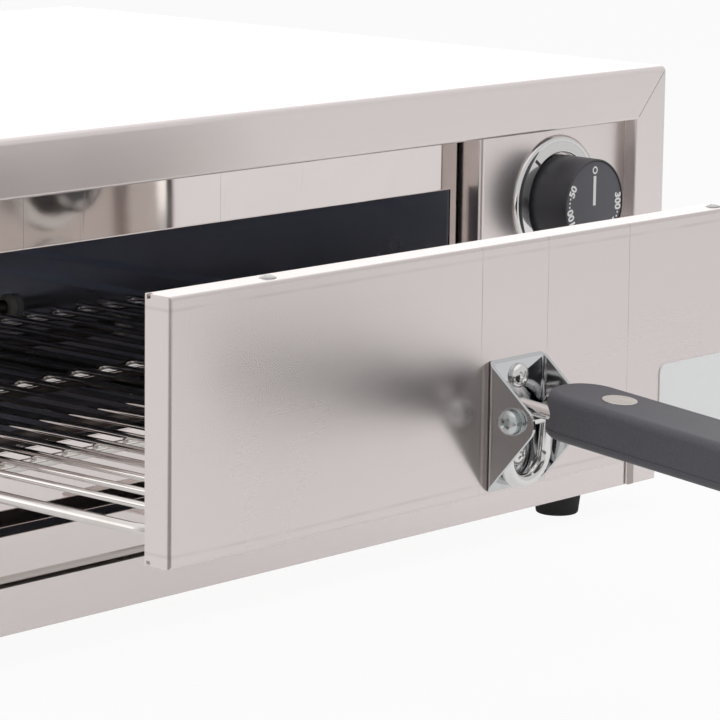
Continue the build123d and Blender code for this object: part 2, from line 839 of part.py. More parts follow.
def foot_places():
    """The four feet stand near the base's corners."""
    x = half - foot_inset_x
    return [(side * x, y) for side in (-1, 1) for y in (foot_inset_y, case_depth - foot_inset_y)]


def foot(x, y):
    """A tapered rubber foot with a recess for its screw."""
    body = Pos(x, y, foot_height / 2) * Cone(foot_bottom_diameter / 2, foot_top_diameter / 2, foot_height)
    body = fillet(body.edges().group_by(Axis.Z)[0], sheet)
    body -= bar_z(foot_recess_diameter, x, y, -overcut, foot_recess_depth)
    return body - bar_z(foot_screw, x, y, -overcut, foot_height + overcut)


def foot_screws():
    """One screw up through each foot."""
    length = foot_height - foot_recess_depth + sheet + nut_height + sheet
    return group(pan_screw(x, y, foot_recess_depth, "-Z", length, screw_head, foot_screw)
                 for x, y in foot_places())


def foot_nuts():
    """The nuts of the feet's screws, inside the base."""
    return group(hex_nut(x, y, floor + sheet, "+Z", bore=foot_screw) for x, y in foot_places())


def door_panel():
    """The door's pan: front plate with four returns, and notches where the corners meet."""
    outer = block(door_left, door_right, door_front, door_back, door_bottom, door_top)
    outer = fillet(outer.edges().group_by(Axis.Y)[0], door_bend)
    inner = block(door_left + sheet, door_right - sheet, door_front + sheet, door_back + sheet,
                  door_bottom + sheet, door_top - sheet)
    inner = fillet(inner.edges().group_by(Axis.Y)[0], door_bend - sheet)
    panel = outer - inner
    for x in (door_left, door_right):
        for z in (door_bottom, door_top):
            panel -= Pos(x, door_back - notch, z) * Box(2 * notch, notch, 2 * notch)
    for x, z, side in rivet_places():
        panel -= bar_z(rivet_shank, x, rivet_row(), z - 2 * sheet, z + 2 * sheet)
    for z in bracket_screw_rows():
        panel -= bar_y(screw_shank, door_middle, door_front - overcut, door_front + 2 * sheet, z)
    return panel


def rivet_places():
    """Two rivets in the top return and two in the bottom one."""
    rows = [(door_top, "+Z"), (door_bottom, "-Z")]
    return [(x, z, side) for z, side in rows for x in (door_left + rivet_inset, door_right - rivet_inset)]


def rivet_row():
    """The rivets' depth in the door's returns."""
    return door_front + door_depth / 2


def door_rivets():
    """Flat-headed rivets that join the door's pan and its cover."""
    rivets = []
    for x, z, side in rivet_places():
        head = Pos(0, 0, rivet_rise / 2) * Cylinder(rivet_head / 2, rivet_rise)
        head = fillet(head.edges().group_by(Axis.Z)[-1], rivet_round)
        shank = Pos(0, 0, -1.5 * sheet) * Cylinder(rivet_shank / 2, 3 * sheet)
        rivets.append(Pos(x, rivet_row(), z) * facing[side] * (head + shank))
    return group(rivets)


def door_cover():
    """The plate that closes the door's back, with flanges under the returns."""
    x0, x1 = door_left + sheet, door_right - sheet
    z0, z1 = door_bottom + sheet, door_top - sheet
    cover = block(x0, x1, door_front + 2 * sheet, cover_back, z0, z1)
    cover -= block(x0 - overcut, x1 + overcut, door_front, cover_back - sheet, z0 + sheet, z1 - sheet)
    for x, z, side in rivet_places():
        cover -= bar_z(rivet_shank, x, rivet_row(), z - 4 * sheet, z + 4 * sheet)
    for x in clip_places():
        cover -= bar_y(screw_shank, x, cover_back - 2 * sheet, cover_back + overcut, clip_screw_height())
    return cover


def rod_pitch():
    """Spacing of the rack's thin rods."""
    return rack_width / (rod_count + 1)


def rack_frame():
    """The rack's rim: one thick wire bent round with soft corners."""
    corners = [(rack_left, rack_rear), (rack_left, rack_front), (rack_right, rack_front),
               (rack_right, rack_rear)]
    rim = FilletPolyline(*[(x, y, rack_height) for x, y in corners], radius=rack_corner, close=True)
    return tube_along(rim, frame_wire)


def rack_rods():
    """The thin rods that the pizza lies on, welded on top of the rim."""
    y0, y1 = rack_front - frame_wire / 4, rack_rear + frame_wire / 4
    return group(bar_y(rack_wire, rack_left + row * rod_pitch(), y0, y1, rod_height)
                 for row in range(1, rod_count + 1))


def rack_cross_bars():
    """Thick wires across the rack, under the thin rods."""
    x0, x1 = rack_left + frame_wire / 2, rack_right - frame_wire / 2
    step = rack_depth / (cross_bar_count + 1)
    return group(bar_x(frame_wire, x0, x1, rack_front + row * step, rack_height)
                 for row in range(1, cross_bar_count + 1))


def clip_places():
    """The clips hold the rim midway between two rods."""
    offset = (rods_to_clip_count + 0.5) * rod_pitch()
    return [door_middle - offset, door_middle + offset]


def clip_screw_height():
    """The clip's screw is in its tab, above the rim."""
    return rack_height + frame_wire / 2 + clip_sheet + clip_tab / 2


def rack_clips():
    """Bent straps that hold the rack's front wire against the door's cover."""
    clips = []
    for x in clip_places():
        x0, x1 = x - clip_width / 2, x + clip_width / 2
        z0, z1 = rack_height - frame_wire / 2, rack_height + frame_wire / 2
        strap = block(x0, x1, cover_back, cover_back + frame_wire + clip_sheet,
                      z0 - clip_sheet, z1 + clip_sheet)
        strap -= block(x0 - overcut, x1 + overcut, cover_back - overcut, cover_back + frame_wire, z0, z1)
        strap += block(x0, x1, cover_back, cover_back + clip_sheet, z1, z1 + clip_sheet + clip_tab)
        hole = bar_y(screw_shank, x, cover_back - overcut, cover_back + 2 * clip_sheet, clip_screw_height())
        clips.append(strap - hole)
    return group(clips)


def clip_screws():
    """The screws of the rack's clips."""
    return group(pan_screw(x, cover_back + clip_sheet, clip_screw_height(), "+Y", clip_sheet + 2 * sheet)
                 for x in clip_places())


def blank_plate():
    """A plain plate with round corners at the right of the door's front."""
    x1 = door_right - plate_from_end
    plate = block(x1 - plate_width, x1, door_front - plate_sheet, door_front,
                  plate_bottom, plate_bottom + plate_height)
    return fillet(plate.edges().filter_by(Axis.Y), plate_corner)


def handle_bracket():
    """A channel on the door: back plate and two pointed ears for the pivot bolt."""
    x0, x1 = door_middle - bracket_width / 2, door_middle + bracket_width / 2
    z0, z1 = bracket_middle - bracket_height / 2, bracket_middle + bracket_height / 2
    side = Plane.YZ * Polygon((door_front, z0), (door_front, z1),
                              (door_front - ear_reach, pivot_height), align=None)
    body = Pos(x0, 0, 0) * extrude(side, bracket_width)
    body = fillet(body.edges().filter_by(Axis.X).group_by(Axis.Y)[0], ear_tip_radius)
    body = fillet(body.edges().filter_by(Axis.Z).group_by(Axis.Y)[-1], bracket_bend)
    inner = block(x0 + bracket_sheet, x1 - bracket_sheet, door_front - 2 * ear_reach,
                  door_front - bracket_sheet, z0 - overcut, z1 + overcut)
    body -= fillet(inner.edges().filter_by(Axis.Z).group_by(Axis.Y)[-1], bracket_bend - bracket_sheet)
    body -= bar_x(pivot_diameter, x0 - overcut, x1 + overcut, pivot_y, pivot_height)
    for z in bracket_screw_rows():
        body -= bar_y(screw_shank, door_middle, door_front - 2 * bracket_sheet, door_front + overcut, z)
    return body


def bracket_screw_rows():
    """The bracket's two screws, above and below the pivot."""
    middle, step = pivot_height - bracket_screw_drop, bracket_screw_spacing / 2
    return [middle - step, middle + step]


def bracket_screws():
    """The screws that hold the bracket to the door."""
    length = bracket_sheet + sheet + nut_height + sheet
    return group(pan_screw(door_middle, door_front - bracket_sheet, z, "-Y", length, bolt_head)
                 for z in bracket_screw_rows())


def bracket_nuts():
    """Their nuts inside the door."""
    return group(hex_nut(door_middle, door_front + sheet, z, "+Y") for z in bracket_screw_rows())


def pivot_bolt():
    """The bolt that the handle turns on, with its head at the left."""
    x = door_middle - bracket_width / 2 - washer_thickness - spring_washer_thickness
    length = bracket_width + washer_thickness + spring_washer_thickness + nut_height + sheet
    return pan_screw(x, pivot_y, pivot_height, "-X", length, bolt_head, pivot_diameter)


def washer(diameter, thickness, x):
    """A ring on the pivot bolt, from x towards the head."""
    ring = bar_x(diameter, x - thickness, x, pivot_y, pivot_height)
    return ring - bar_x(pivot_diameter, x - 2 * thickness, x + thickness, pivot_y, pivot_height)


def pivot_flat_washer():
    """The flat washer against the bracket's left ear."""
    return washer(washer_diameter, washer_thickness, door_middle - bracket_width / 2)


def pivot_spring_washer():
    """The split washer under the bolt's head."""
    x = door_middle - bracket_width / 2 - washer_thickness
    ring = washer(spring_washer_diameter, spring_washer_thickness, x)
    split = Pos(x, pivot_y, pivot_height + spring_washer_diameter / 2) * Rot(0, 30, 0)
    return ring - split * Box(screw_slot / 2, screw_slot, spring_washer_diameter)


def pivot_nut():
    """The nut outside the bracket's right ear."""
    return hex_nut(door_middle + bracket_width / 2, pivot_y, pivot_height, "+X", bore=pivot_diameter)


def at_pivot(shape):
    """Places a handle piece drawn round the pivot: at rest it droops to its stop."""
    return Pos(door_middle, pivot_y, pivot_height) * Rot(handle_droop, 0, 0) * shape


def pivot_sleeve():
    """The tube that turns on the bolt, welded under the handle's wires."""
    outer = bend_radius - handle_wire / 2
    inner = pivot_diameter / 2 + pivot_clearance
    tube = Cylinder(outer, sleeve_length) - Cylinder(inner, 2 * sleeve_length)
    return at_pivot(Rot(0, 90, 0) * tube)


def handle_bail():
    """One wire: out of the grip, over the pivot, down into a loop and back."""
    x, r = leg_spacing / 2, bend_radius
    tail, low = -(grip_start + grip_wire_depth), x - loop_drop
    diagonal = r * math.sqrt(0.5)
    path = Wire([
        Line((x, tail, r), (x, 0, r)),
        ThreePointArc((x, 0, r), (x, diagonal, diagonal), (x, r, 0)),
        Line((x, r, 0), (x, r, low)),
        ThreePointArc((x, r, low), (0, r, -loop_drop), (-x, r, low)),
        Line((-x, r, low), (-x, r, 0)),
        ThreePointArc((-x, r, 0), (-x, diagonal, diagonal), (-x, 0, r)),
        Line((-x, 0, r), (-x, tail, r)),
    ])
    return at_pivot(tube_along(path, handle_wire))


def grip_half(upper):
    """The moulded grip's body, which holds the wires, or the cover below them."""
    y0, y1 = -(grip_start + grip_length), -grip_start
    middle, deep = bend_radius, grip_thickness / 2
    body = block(-grip_width / 2, grip_width / 2, y0, y1, middle - deep, middle + deep)
    rear, front = (grip_width - grip_rear_flat) / 2, (grip_width - grip_front_flat) / 2
    body = fillet(body.edges().filter_by(Axis.Z).group_by(Axis.Y)[-1], rear)
    body = fillet(body.edges().filter_by(Axis.Z).group_by(Axis.Y)[0], front)
    body = fillet(body.edges().group_by(Axis.Z)[-1], grip_edge)
    body = fillet(body.edges().group_by(Axis.Z)[0], grip_edge)
    for x in (-leg_spacing / 2, leg_spacing / 2):
        body -= bar_y(handle_wire + 2 * grip_wire_clearance, x, y1 - grip_wire_depth, y1 + overcut, middle)
    stud_y = y1 - stud_from_end
    body -= bar_z(stud_shank, 0, stud_y, middle - 2 * deep, middle + 2 * deep)
    for z in (middle - deep, middle + deep):
        body -= bar_z(stud_diameter, 0, stud_y, z - stud_recess, z + stud_recess)
    split = middle - deep + grip_cover
    low, high = (split, split + 2 * deep) if upper else (split - 2 * deep, split)
    return at_pivot(body & block(-grip_width, grip_width, y0 - overcut, y1 + overcut, low, high))


def grip_stud():
    """The bright rivet through the grip, with a flat round head on each side."""
    y = -(grip_start + stud_from_end)
    middle, deep = bend_radius, grip_thickness / 2
    stud = bar_z(stud_shank, 0, y, middle - deep, middle + deep)
    for side in (-1, 1):
        inner = middle + side * (deep - stud_recess)
        outer = middle + side * (deep + stud_rise)
        stud += bar_z(stud_diameter, 0, y, min(inner, outer), max(inner, outer))
    return at_pivot(stud)


def all_nodes():
    """Every node of the oven, by name."""
    return {
        "outer_casing": outer_casing(), "base_panel": base_panel(), "rear_panel": rear_panel(),
        "front_fascia": front_fascia(), "sill_panel": sill_panel(), "control_panel": control_panel(),
        "cavity_liner": cavity_liner(), "insulation": insulation(), "heat_shield": heat_shield(),
        "left_rack_runner": runner(-1), "right_rack_runner": runner(1),
        "left_tray_runner": tray_runner(-1), "right_tray_runner": tray_runner(1),
        "lower_elements": elements(lower_element_height), "upper_elements": elements(upper_element_height),
        "element_insulators": element_insulators(), "element_pins": terminal_pins(),
        "element_supports": element_supports(), "element_links": element_links(),
        "thermostat_body": thermostat_body(), "thermostat_bulb": thermostat_bulb(),
        "capillary_tube": capillary_tube(), "timer_body": timer_body(),
        "thermostat_bezel": bezel(thermostat_height), "timer_bezel": bezel(timer_height),
        "power_lamp": lamp(lamp_places()[0]), "heat_lamp": lamp(lamp_places()[1]),
        "terminal_block": terminal_block(), "wiring": wiring(), "cord_gland": gland(),
        "gland_locknut": gland_locknut(), "feet": group(foot(x, y) for x, y in foot_places()),
        "foot_screws": foot_screws(), "foot_nuts": foot_nuts(),
        "side_screws": group(pan_screw(*place, length=4 * sheet) for place in side_screw_places()),
        "rear_screws": group(pan_screw(*place, length=4 * sheet) for place in rear_screw_places()),
        "door_panel": door_panel(), "door_cover": door_cover(), "door_rivets": door_rivets(),
        "rack_frame": rack_frame(), "rack_rods": rack_rods(), "rack_cross_bars": rack_cross_bars(),
        "rack_clips": rack_clips(), "clip_screws": clip_screws(), "blank_plate": blank_plate(),
        "handle_bracket": handle_bracket(), "bracket_screws": bracket_screws(),
        "bracket_nuts": bracket_nuts(), "pivot_bolt": pivot_bolt(),
        "pivot_flat_washer": pivot_flat_washer(), "pivot_spring_washer": pivot_spring_washer(),
        "pivot_nut": pivot_nut(), "pivot_sleeve": pivot_sleeve(), "handle_bail": handle_bail(),
        "grip_upper": grip_half(True), "grip_lower": grip_half(False), "grip_stud": grip_stud(),
        "crumb_tray": crumb_tray(),
        "thermostat_knob": knob(thermostat_height) + control_shaft(thermostat_height, shaft_reach),
        "timer_knob": knob(timer_height) + control_shaft(timer_height, shaft_reach),
    }


def middle_shift(nodes):
    """How far back the drawing moves, so that its origin is below the middle of its box."""
    boxes = [shape.bounding_box() for shape in nodes.values()]
    return -(min(box.min.Y for box in boxes) + max(box.max.Y for box in boxes)) / 2


def write_parts(nodes):
    """Writes one file for each node."""
    os.makedirs("parts", exist_ok=True)
    shift = middle_shift(nodes)
    for name, shape in nodes.items():
        export_step(Pos(0, shift, 0) * shape, f"parts/{name}.step")
    print(f"{len(nodes)} nodes, front frame at y = {shift:.3f}")
    print(f"pivot at {door_middle:.3f} {pivot_y + shift:.3f} {pivot_height:.3f}")


write_parts(all_nodes())
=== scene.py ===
import logging
import math
from collections.abc import Iterable
from dataclasses import dataclass, field
from enum import Enum

import bmesh
import bpy
from mathutils import Matrix, Vector, noise


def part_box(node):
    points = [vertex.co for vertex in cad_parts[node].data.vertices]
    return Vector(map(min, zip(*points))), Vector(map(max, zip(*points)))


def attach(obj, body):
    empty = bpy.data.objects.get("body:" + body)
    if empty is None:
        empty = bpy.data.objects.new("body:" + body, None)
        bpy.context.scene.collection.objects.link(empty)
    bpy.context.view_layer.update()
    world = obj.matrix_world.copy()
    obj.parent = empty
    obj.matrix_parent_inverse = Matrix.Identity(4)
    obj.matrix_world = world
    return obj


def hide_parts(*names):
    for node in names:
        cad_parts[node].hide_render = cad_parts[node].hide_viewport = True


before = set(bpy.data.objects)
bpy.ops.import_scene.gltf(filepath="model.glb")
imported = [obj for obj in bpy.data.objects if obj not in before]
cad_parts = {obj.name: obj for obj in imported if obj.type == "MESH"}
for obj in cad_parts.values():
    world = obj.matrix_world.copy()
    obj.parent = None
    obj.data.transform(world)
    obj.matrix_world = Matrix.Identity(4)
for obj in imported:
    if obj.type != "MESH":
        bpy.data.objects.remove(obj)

LOG = logging.getLogger("pizza_oven")
MM = 0.001
# How far a film cut's line reaches to each side.
CUT_WIDTH = 0.14 * MM
# How wide the edges of small pieces are rounded.
SMALL_EDGE = 0.12 * MM
# Edges that turn further than this, in degrees, are shaded sharp.
SHARP_TURN = 32.0
BEAD_TURN = 50.0
WOOL_TURN = 60.0
WELD_TURN = 80.0
# Edges that turn further than the first are rounded, and faces that turn less than the second are one.
BEVEL_TURN = 28.0
FLAT_TURN = 0.6
# Points that lie closer than this are one, in a copy of a node and in a turned piece.
DOUBLES_REACH = 2e-6
SEAM_REACH = 1e-6
SPECK = 1e-7
Colour = tuple[float, float, float]
Triple = tuple[float, float, float]
Socket = bpy.types.NodeSocket
Shape = bmesh.types.BMesh
Piece = bpy.types.Object


class Grain(Enum):
    """The way that a sheet's brushed lines run, as features per metre along X, Y and Z."""

    ALONG_X = (12.0, 900.0, 900.0)
    ALONG_Z = (900.0, 900.0, 12.0)


class Side(Enum):
    """The way that a turned piece's axis points."""

    FRONT = (0.0, -1.0, 0.0)
    LEFT = (-1.0, 0.0, 0.0)
    UP = (0.0, 0.0, 1.0)
    DOWN = (0.0, 0.0, -1.0)


class NodeTree:
    """Short calls for what the material and world nodes need."""

    def __init__(self, tree: bpy.types.NodeTree) -> None:
        """Takes up a tree that Blender has made."""
        self.tree = tree

    def node(self, kind: str, **settings: object) -> bpy.types.Node:
        """Adds a node.

        Args:
            kind: Blender's name of the node's type.
            settings: the node's own properties.

        Returns:
            The new node.
        """
        made = self.tree.nodes.new(kind)
        for name, value in settings.items():
            setattr(made, name, value)
        return made

    def join(self, source: Socket, target: Socket) -> None:
        """Links an output to an input."""
        self.tree.links.new(source, target)

    def math(self, operation: str, *values: Socket | float) -> Socket:
        """A calculation with sockets and numbers.

        Args:
            operation: Blender's name of it.
            values: the sockets and numbers, in order.

        Returns:
            The result.
        """
        step = self.node("ShaderNodeMath", operation=operation)
        for slot, value in zip(step.inputs, values):
            if isinstance(value, Socket):
                self.join(value, slot)
            else:
                slot.default_value = value
        return step.outputs[0]

    def spread(self, value: Socket, low: float, high: float, start: float = 0.3,
               end: float = 0.7, **settings: object) -> Socket:
        """Maps a value's middle range to a new range.

        Args:
            value: the value.
            low: the result at start.
            high: the result at end.
            start: where the range starts.
            end: where it ends.
            settings: the node's own properties.

        Returns:
            The mapped value, held between low and high.
        """
        mapped = self.node("ShaderNodeMapRange", **settings)
        self.join(value, mapped.inputs["Value"])
        for name, number in (("From Min", start), ("From Max", end), ("To Min", low), ("To Max", high)):
            mapped.inputs[name].default_value = number
        return mapped.outputs["Result"]

    def blend(self, share: Socket, first: bpy.types.Node, second: bpy.types.Node, target: str) -> None:
        """Shows a mix of two shaders.

        Args:
            share: how much of the second.
            first: the first shader.
            second: the second shader.
            target: the name of the output node.
        """
        mixer = self.node("ShaderNodeMixShader")
        for slot, source in zip(mixer.inputs, (share, first.outputs[0], second.outputs[0])):
            self.join(source, slot)
        self.join(mixer.outputs[0], self.tree.nodes[target].inputs["Surface"])


class NodeBench(NodeTree):
    """One material's nodes, with short calls for what the finishes need."""

    def __init__(self, name: str) -> None:
        """Starts a material.

        Args:
            name: the material's name.
        """
        self.material = bpy.data.materials.new(name)
        self.material.use_nodes = True
        super().__init__(self.material.node_tree)
        self.shader = self.tree.nodes["Principled BSDF"]
        self.place = self.node("ShaderNodeTexCoord").outputs["Object"]

    def fix(self, **values: float | tuple[float, ...]) -> None:
        """Sets the shader's constant sockets.

        Args:
            values: the values by socket name, with underscores for spaces.
        """
        for name, value in values.items():
            self.shader.inputs[name.replace("_", " ")].default_value = value

    def noise(self, scale: Triple | float, detail: float = 2.0, roughness: float = 0.5,
              distortion: float = 0.0) -> Socket:
        """A noise pattern over the piece's own place.

        Args:
            scale: features per metre, along X, Y and Z or alike in each.
            detail: octaves of finer noise.
            roughness: how strong those octaves are.
            distortion: how much the pattern is bent.

        Returns:
            The noise value, about 0 to 1.
        """
        mapping = self.node("ShaderNodeMapping")
        mapping.inputs["Scale"].default_value = scale if isinstance(scale, tuple) else (scale,) * 3
        self.join(self.place, mapping.inputs["Vector"])
        pattern = self.node("ShaderNodeTexNoise")
        for name, value in (("Scale", 1.0), ("Detail", detail), ("Roughness", roughness),
                            ("Distortion", distortion)):
            pattern.inputs[name].default_value = value
        self.join(mapping.outputs["Vector"], pattern.inputs["Vector"])
        return pattern.outputs["Fac"]

    def mix(self, share: Socket, first: Colour | Socket, second: Colour | Socket) -> Socket:
        """Mixes two colours.

        Args:
            share: how much of the second.
            first: a colour or a colour socket.
            second: a colour or a colour socket.

        Returns:
            The mixed colour.
        """
        mixer = self.node("ShaderNodeMix", data_type="RGBA")
        self.join(share, mixer.inputs[0])
        for slot, colour in ((6, first), (7, second)):
            if isinstance(colour, tuple):
                mixer.inputs[slot].default_value = (*colour, 1.0)
            else:
                self.join(colour, mixer.inputs[slot])
        return mixer.outputs[2]

    def axes(self) -> bpy.types.bpy_prop_collection:
        """Takes the piece's own place apart.

        Returns:
            Its X, Y and Z as separate values.
        """
        parts = self.node("ShaderNodeSeparateXYZ")
        self.join(self.place, parts.inputs[0])
        return parts.outputs

    def cut_and_bend_shade_lines(self, axis: str, places: tuple[float, ...], width: float) -> Socket:
        """Thin broken darker lines: the cuts in the sheet's cover film, and the painted shade where a sheet
        starts to bend.

        Args:
            axis: the axis that the lines lie across.
            places: where they lie on it, in metres.
            width: how far a line reaches to each side, in metres.

        Returns:
            A value that is high on the lines.
        """
        wander = self.spread(self.noise(9.0, 1.0), -0.3 * MM, 0.3 * MM)
        across = self.math("ADD", self.axes()[axis], wander)
        total = 0.0
        for place in places:
            near = self.math("ABSOLUTE", self.math("SUBTRACT", across, place))
            total = self.math("MAXIMUM", total, self.spread(near, 1.0, 0.0, 0.4 * width, 1.5 * width))
        broken = self.spread(self.noise(45.0), 0.1, 0.75, 0.35, 0.6)
        return self.math("MULTIPLY", total, broken)

    def bump(self, height: Socket, strength: float, distance: float, under: Socket | None = None) -> Socket:
        """A bump that follows a height.

        Args:
            height: the height value.
            strength: how strong it is.
            distance: how deep it is, in metres.
            under: the bump that this one lies on.

        Returns:
            The normal.
        """
        made = self.node("ShaderNodeBump")
        made.inputs["Strength"].default_value = strength
        made.inputs["Distance"].default_value = distance
        self.join(height, made.inputs["Height"])
        if under is not None:
            self.join(under, made.inputs["Normal"])
        return made.outputs["Normal"]

    def finish(self, colour: Socket, roughness: Socket, normal: Socket) -> bpy.types.Material:
        """Joins the three patterned sockets.

        Args:
            colour: the base colour.
            roughness: the roughness.
            normal: the normal.

        Returns:
            The material.
        """
        for name, source in (("Base Color", colour), ("Roughness", roughness), ("Normal", normal)):
            self.join(source, self.shader.inputs[name])
        return self.material


def tinted(colour: Colour, factor: float) -> Colour:
    """A lighter or darker copy of a colour."""
    return tuple(min(1.0, part * factor) for part in colour)


@dataclass(frozen=True)
class BrushedSteel:
    """Stainless sheet with fine straight lines, which blur reflections across them."""

    name: str
    colour: Colour = (0.845, 0.775, 0.76)
    roughness: float = 0.22
    metal: float = 1.0
    grain: Grain = Grain.ALONG_X
    anisotropy: float = 0.55
    film_lines: tuple[float, ...] = ()
    film_shade: float = 0.42
    bend_shade_lines: tuple[float, ...] = ()
    bend_shade: float = 0.88

    def build(self) -> bpy.types.Material:
        """Makes the material.

        Returns:
            The new material.
        """
        bench = NodeBench(self.name)
        bench.fix(Metallic=self.metal, Anisotropic=self.anisotropy)
        lines = bench.noise(self.grain.value, 3.0, 0.6)
        long_lines = bench.noise(tuple(part / 3.2 for part in self.grain.value))
        smudge = bench.noise((9.0, 9.0, 13.0), 3.0, 0.55, 0.6)
        streaks = bench.math("MULTIPLY", lines, long_lines)
        colour = bench.mix(bench.spread(streaks, 0.0, 1.0, 0.12, 0.42), tinted(self.colour, 0.994),
                           tinted(self.colour, 1.006))
        rough = bench.math("ADD", bench.spread(lines, -0.003, 0.005),
                           bench.spread(smudge, self.roughness * 0.93, self.roughness * 1.1))
        if self.film_lines:
            mark = bench.cut_and_bend_shade_lines("X", self.film_lines, CUT_WIDTH)
            colour = bench.mix(mark, colour, tinted(self.colour, self.film_shade))
        # The lines across Z are painted shade where the sheet starts to bend, a few millimetres inside its
        # top and bottom edges.
        if self.bend_shade_lines:
            mark = bench.cut_and_bend_shade_lines("Z", self.bend_shade_lines, 4 * CUT_WIDTH)
            colour = bench.mix(mark, colour, tinted(self.colour, self.bend_shade))
        self.turn_tangent(bench)
        normal = bench.bump(lines, 0.003, 0.01 * MM)
        normal = bench.bump(smudge, 0.03, 0.6 * MM, normal)
        return bench.finish(colour, rough, normal)

    def turn_tangent(self, bench: NodeBench) -> None:
        """Turns the blur across the lines, on faces that look forwards, up or sideways.

        Args:
            bench: the material's nodes.
        """
        facing = bench.node("ShaderNodeNewGeometry")
        parts = bench.node("ShaderNodeSeparateXYZ")
        bench.join(facing.outputs["True Normal"], parts.inputs[0])
        forward = bench.math("ABSOLUTE", parts.outputs["Y"])
        other = bench.math("SUBTRACT", 1.0, forward)
        tangent = bench.node("ShaderNodeCombineXYZ")
        bench.join(other, tangent.inputs["Y"])
        bench.join(forward, tangent.inputs["Z"])
        bench.join(tangent.outputs[0], bench.shader.inputs["Tangent"])


@dataclass(frozen=True)
class BrightSteel:
    """Bright rolled sheet: a slightly wavy mirror with a few scratches.

    Its lean, up and aside in degrees, tips what it mirrors as a sheet that hangs askew does.
    """

    name: str
    colour: Colour = (0.79, 0.73, 0.715)
    roughness: float = 0.05
    wave: float = 0.06
    film_lines: tuple[float, ...] = ()
    film_shade: float = 0.6
    lean: tuple[float, float] = (0.0, 0.0)

    def build(self) -> bpy.types.Material:
        """Makes the material.

        Returns:
            The new material.
        """
        bench = NodeBench(self.name)
        bench.fix(Metallic=1.0)
        haze = bench.noise((14.0, 14.0, 20.0), 4.0, 0.6, 0.8)
        scratch = bench.noise((260.0, 260.0, 18.0), 2.0, 0.7, 1.2)
        colour = bench.mix(bench.spread(haze, 0.0, 1.0), tinted(self.colour, 0.97), tinted(self.colour, 1.02))
        colour = bench.mix(bench.spread(scratch, 0.0, 0.25, 0.66, 0.74), colour, tinted(self.colour, 0.8))
        if self.film_lines:
            mark = bench.cut_and_bend_shade_lines("X", self.film_lines, CUT_WIDTH)
            colour = bench.mix(mark, colour, tinted(self.colour, self.film_shade))
        rough = bench.math("ADD", bench.spread(haze, self.roughness * 0.7, self.roughness * 1.5),
                           bench.spread(scratch, 0.0, 0.05, 0.64, 0.74))
        swell = bench.noise((11.0, 11.0, 16.0), 1.0, 0.4)
        normal = bench.bump(swell, self.wave, 2.5 * MM)
        if any(self.lean):
            axes = bench.axes()
            up, aside = (math.tan(math.radians(turn)) for turn in self.lean)
            slope = bench.math("MULTIPLY_ADD", axes["Z"], -up, bench.math("MULTIPLY", axes["X"], aside))
            normal = bench.bump(slope, 1.0, 1.0, normal)
        return bench.finish(colour, rough, normal)


@dataclass(frozen=True)
class BrightWire:
    """Chromed wire or turned chrome, with a faint warm stain."""

    name: str
    colour: Colour = (0.74, 0.72, 0.70)
    stain: Colour = (0.52, 0.45, 0.37)
    roughness: float = 0.09

    def build(self) -> bpy.types.Material:
        """Makes the material.

        Returns:
            The new material.
        """
        bench = NodeBench(self.name)
        bench.fix(Metallic=1.0)
        cloud = bench.noise((40.0, 40.0, 60.0), 3.0, 0.6, 0.4)
        fine = bench.noise((900.0, 300.0, 900.0), 2.0)
        colour = bench.mix(bench.spread(cloud, 0.0, 0.4, 0.55, 0.8), self.colour, self.stain)
        rough = bench.spread(cloud, self.roughness * 0.7, self.roughness * 1.9)
        return bench.finish(colour, rough, bench.bump(fine, 0.05, 0.05 * MM))


@dataclass(frozen=True)
class PlatedSteel:
    """Plated or plain metal: a thin film with dull patches and a wide pale bloom."""

    name: str
    colour: Colour = (0.60, 0.645, 0.68)
    patch: Colour = (0.46, 0.48, 0.46)
    bloom: Colour = (0.66, 0.65, 0.58)
    roughness: float = 0.26

    def build(self) -> bpy.types.Material:
        """Makes the material.

        Returns:
            The new material.
        """
        bench = NodeBench(self.name)
        bench.fix(Metallic=1.0)
        cloud = bench.noise(320.0, 3.0, 0.6)
        wide = bench.noise(35.0)
        colour = bench.mix(bench.spread(cloud, 0.0, 0.6), self.colour, self.patch)
        colour = bench.mix(bench.spread(wide, 0.0, 0.35), colour, self.bloom)
        rough = bench.spread(cloud, self.roughness * 0.75, self.roughness * 1.4)
        return bench.finish(colour, rough, bench.bump(cloud, 0.08, 0.08 * MM))


@dataclass(frozen=True)
class HeatedSteel:
    """Sheet or tube that heat has darkened, with a brown bloom."""

    name: str
    colour: Colour = (0.70, 0.73, 0.82)
    bloom: Colour = (0.60, 0.59, 0.64)
    roughness: float = 0.17

    def build(self) -> bpy.types.Material:
        """Makes the material.

        Returns:
            The new material.
        """
        bench = NodeBench(self.name)
        bench.fix(Metallic=0.85)
        cloud = bench.noise((17.0, 17.0, 24.0), 4.0, 0.6, 0.5)
        speck = bench.noise(420.0, 2.0, 0.6)
        colour = bench.mix(bench.spread(cloud, 0.0, 0.8, 0.45, 0.75), self.colour, self.bloom)
        colour = bench.mix(bench.spread(speck, 0.0, 0.5, 0.6, 0.75), colour, tinted(self.colour, 1.35))
        rough = bench.spread(cloud, self.roughness * 0.7, self.roughness * 1.7)
        normal = bench.bump(speck, 0.06, 0.1 * MM)
        return bench.finish(colour, rough, bench.bump(cloud, 0.06, 1.0 * MM, normal))


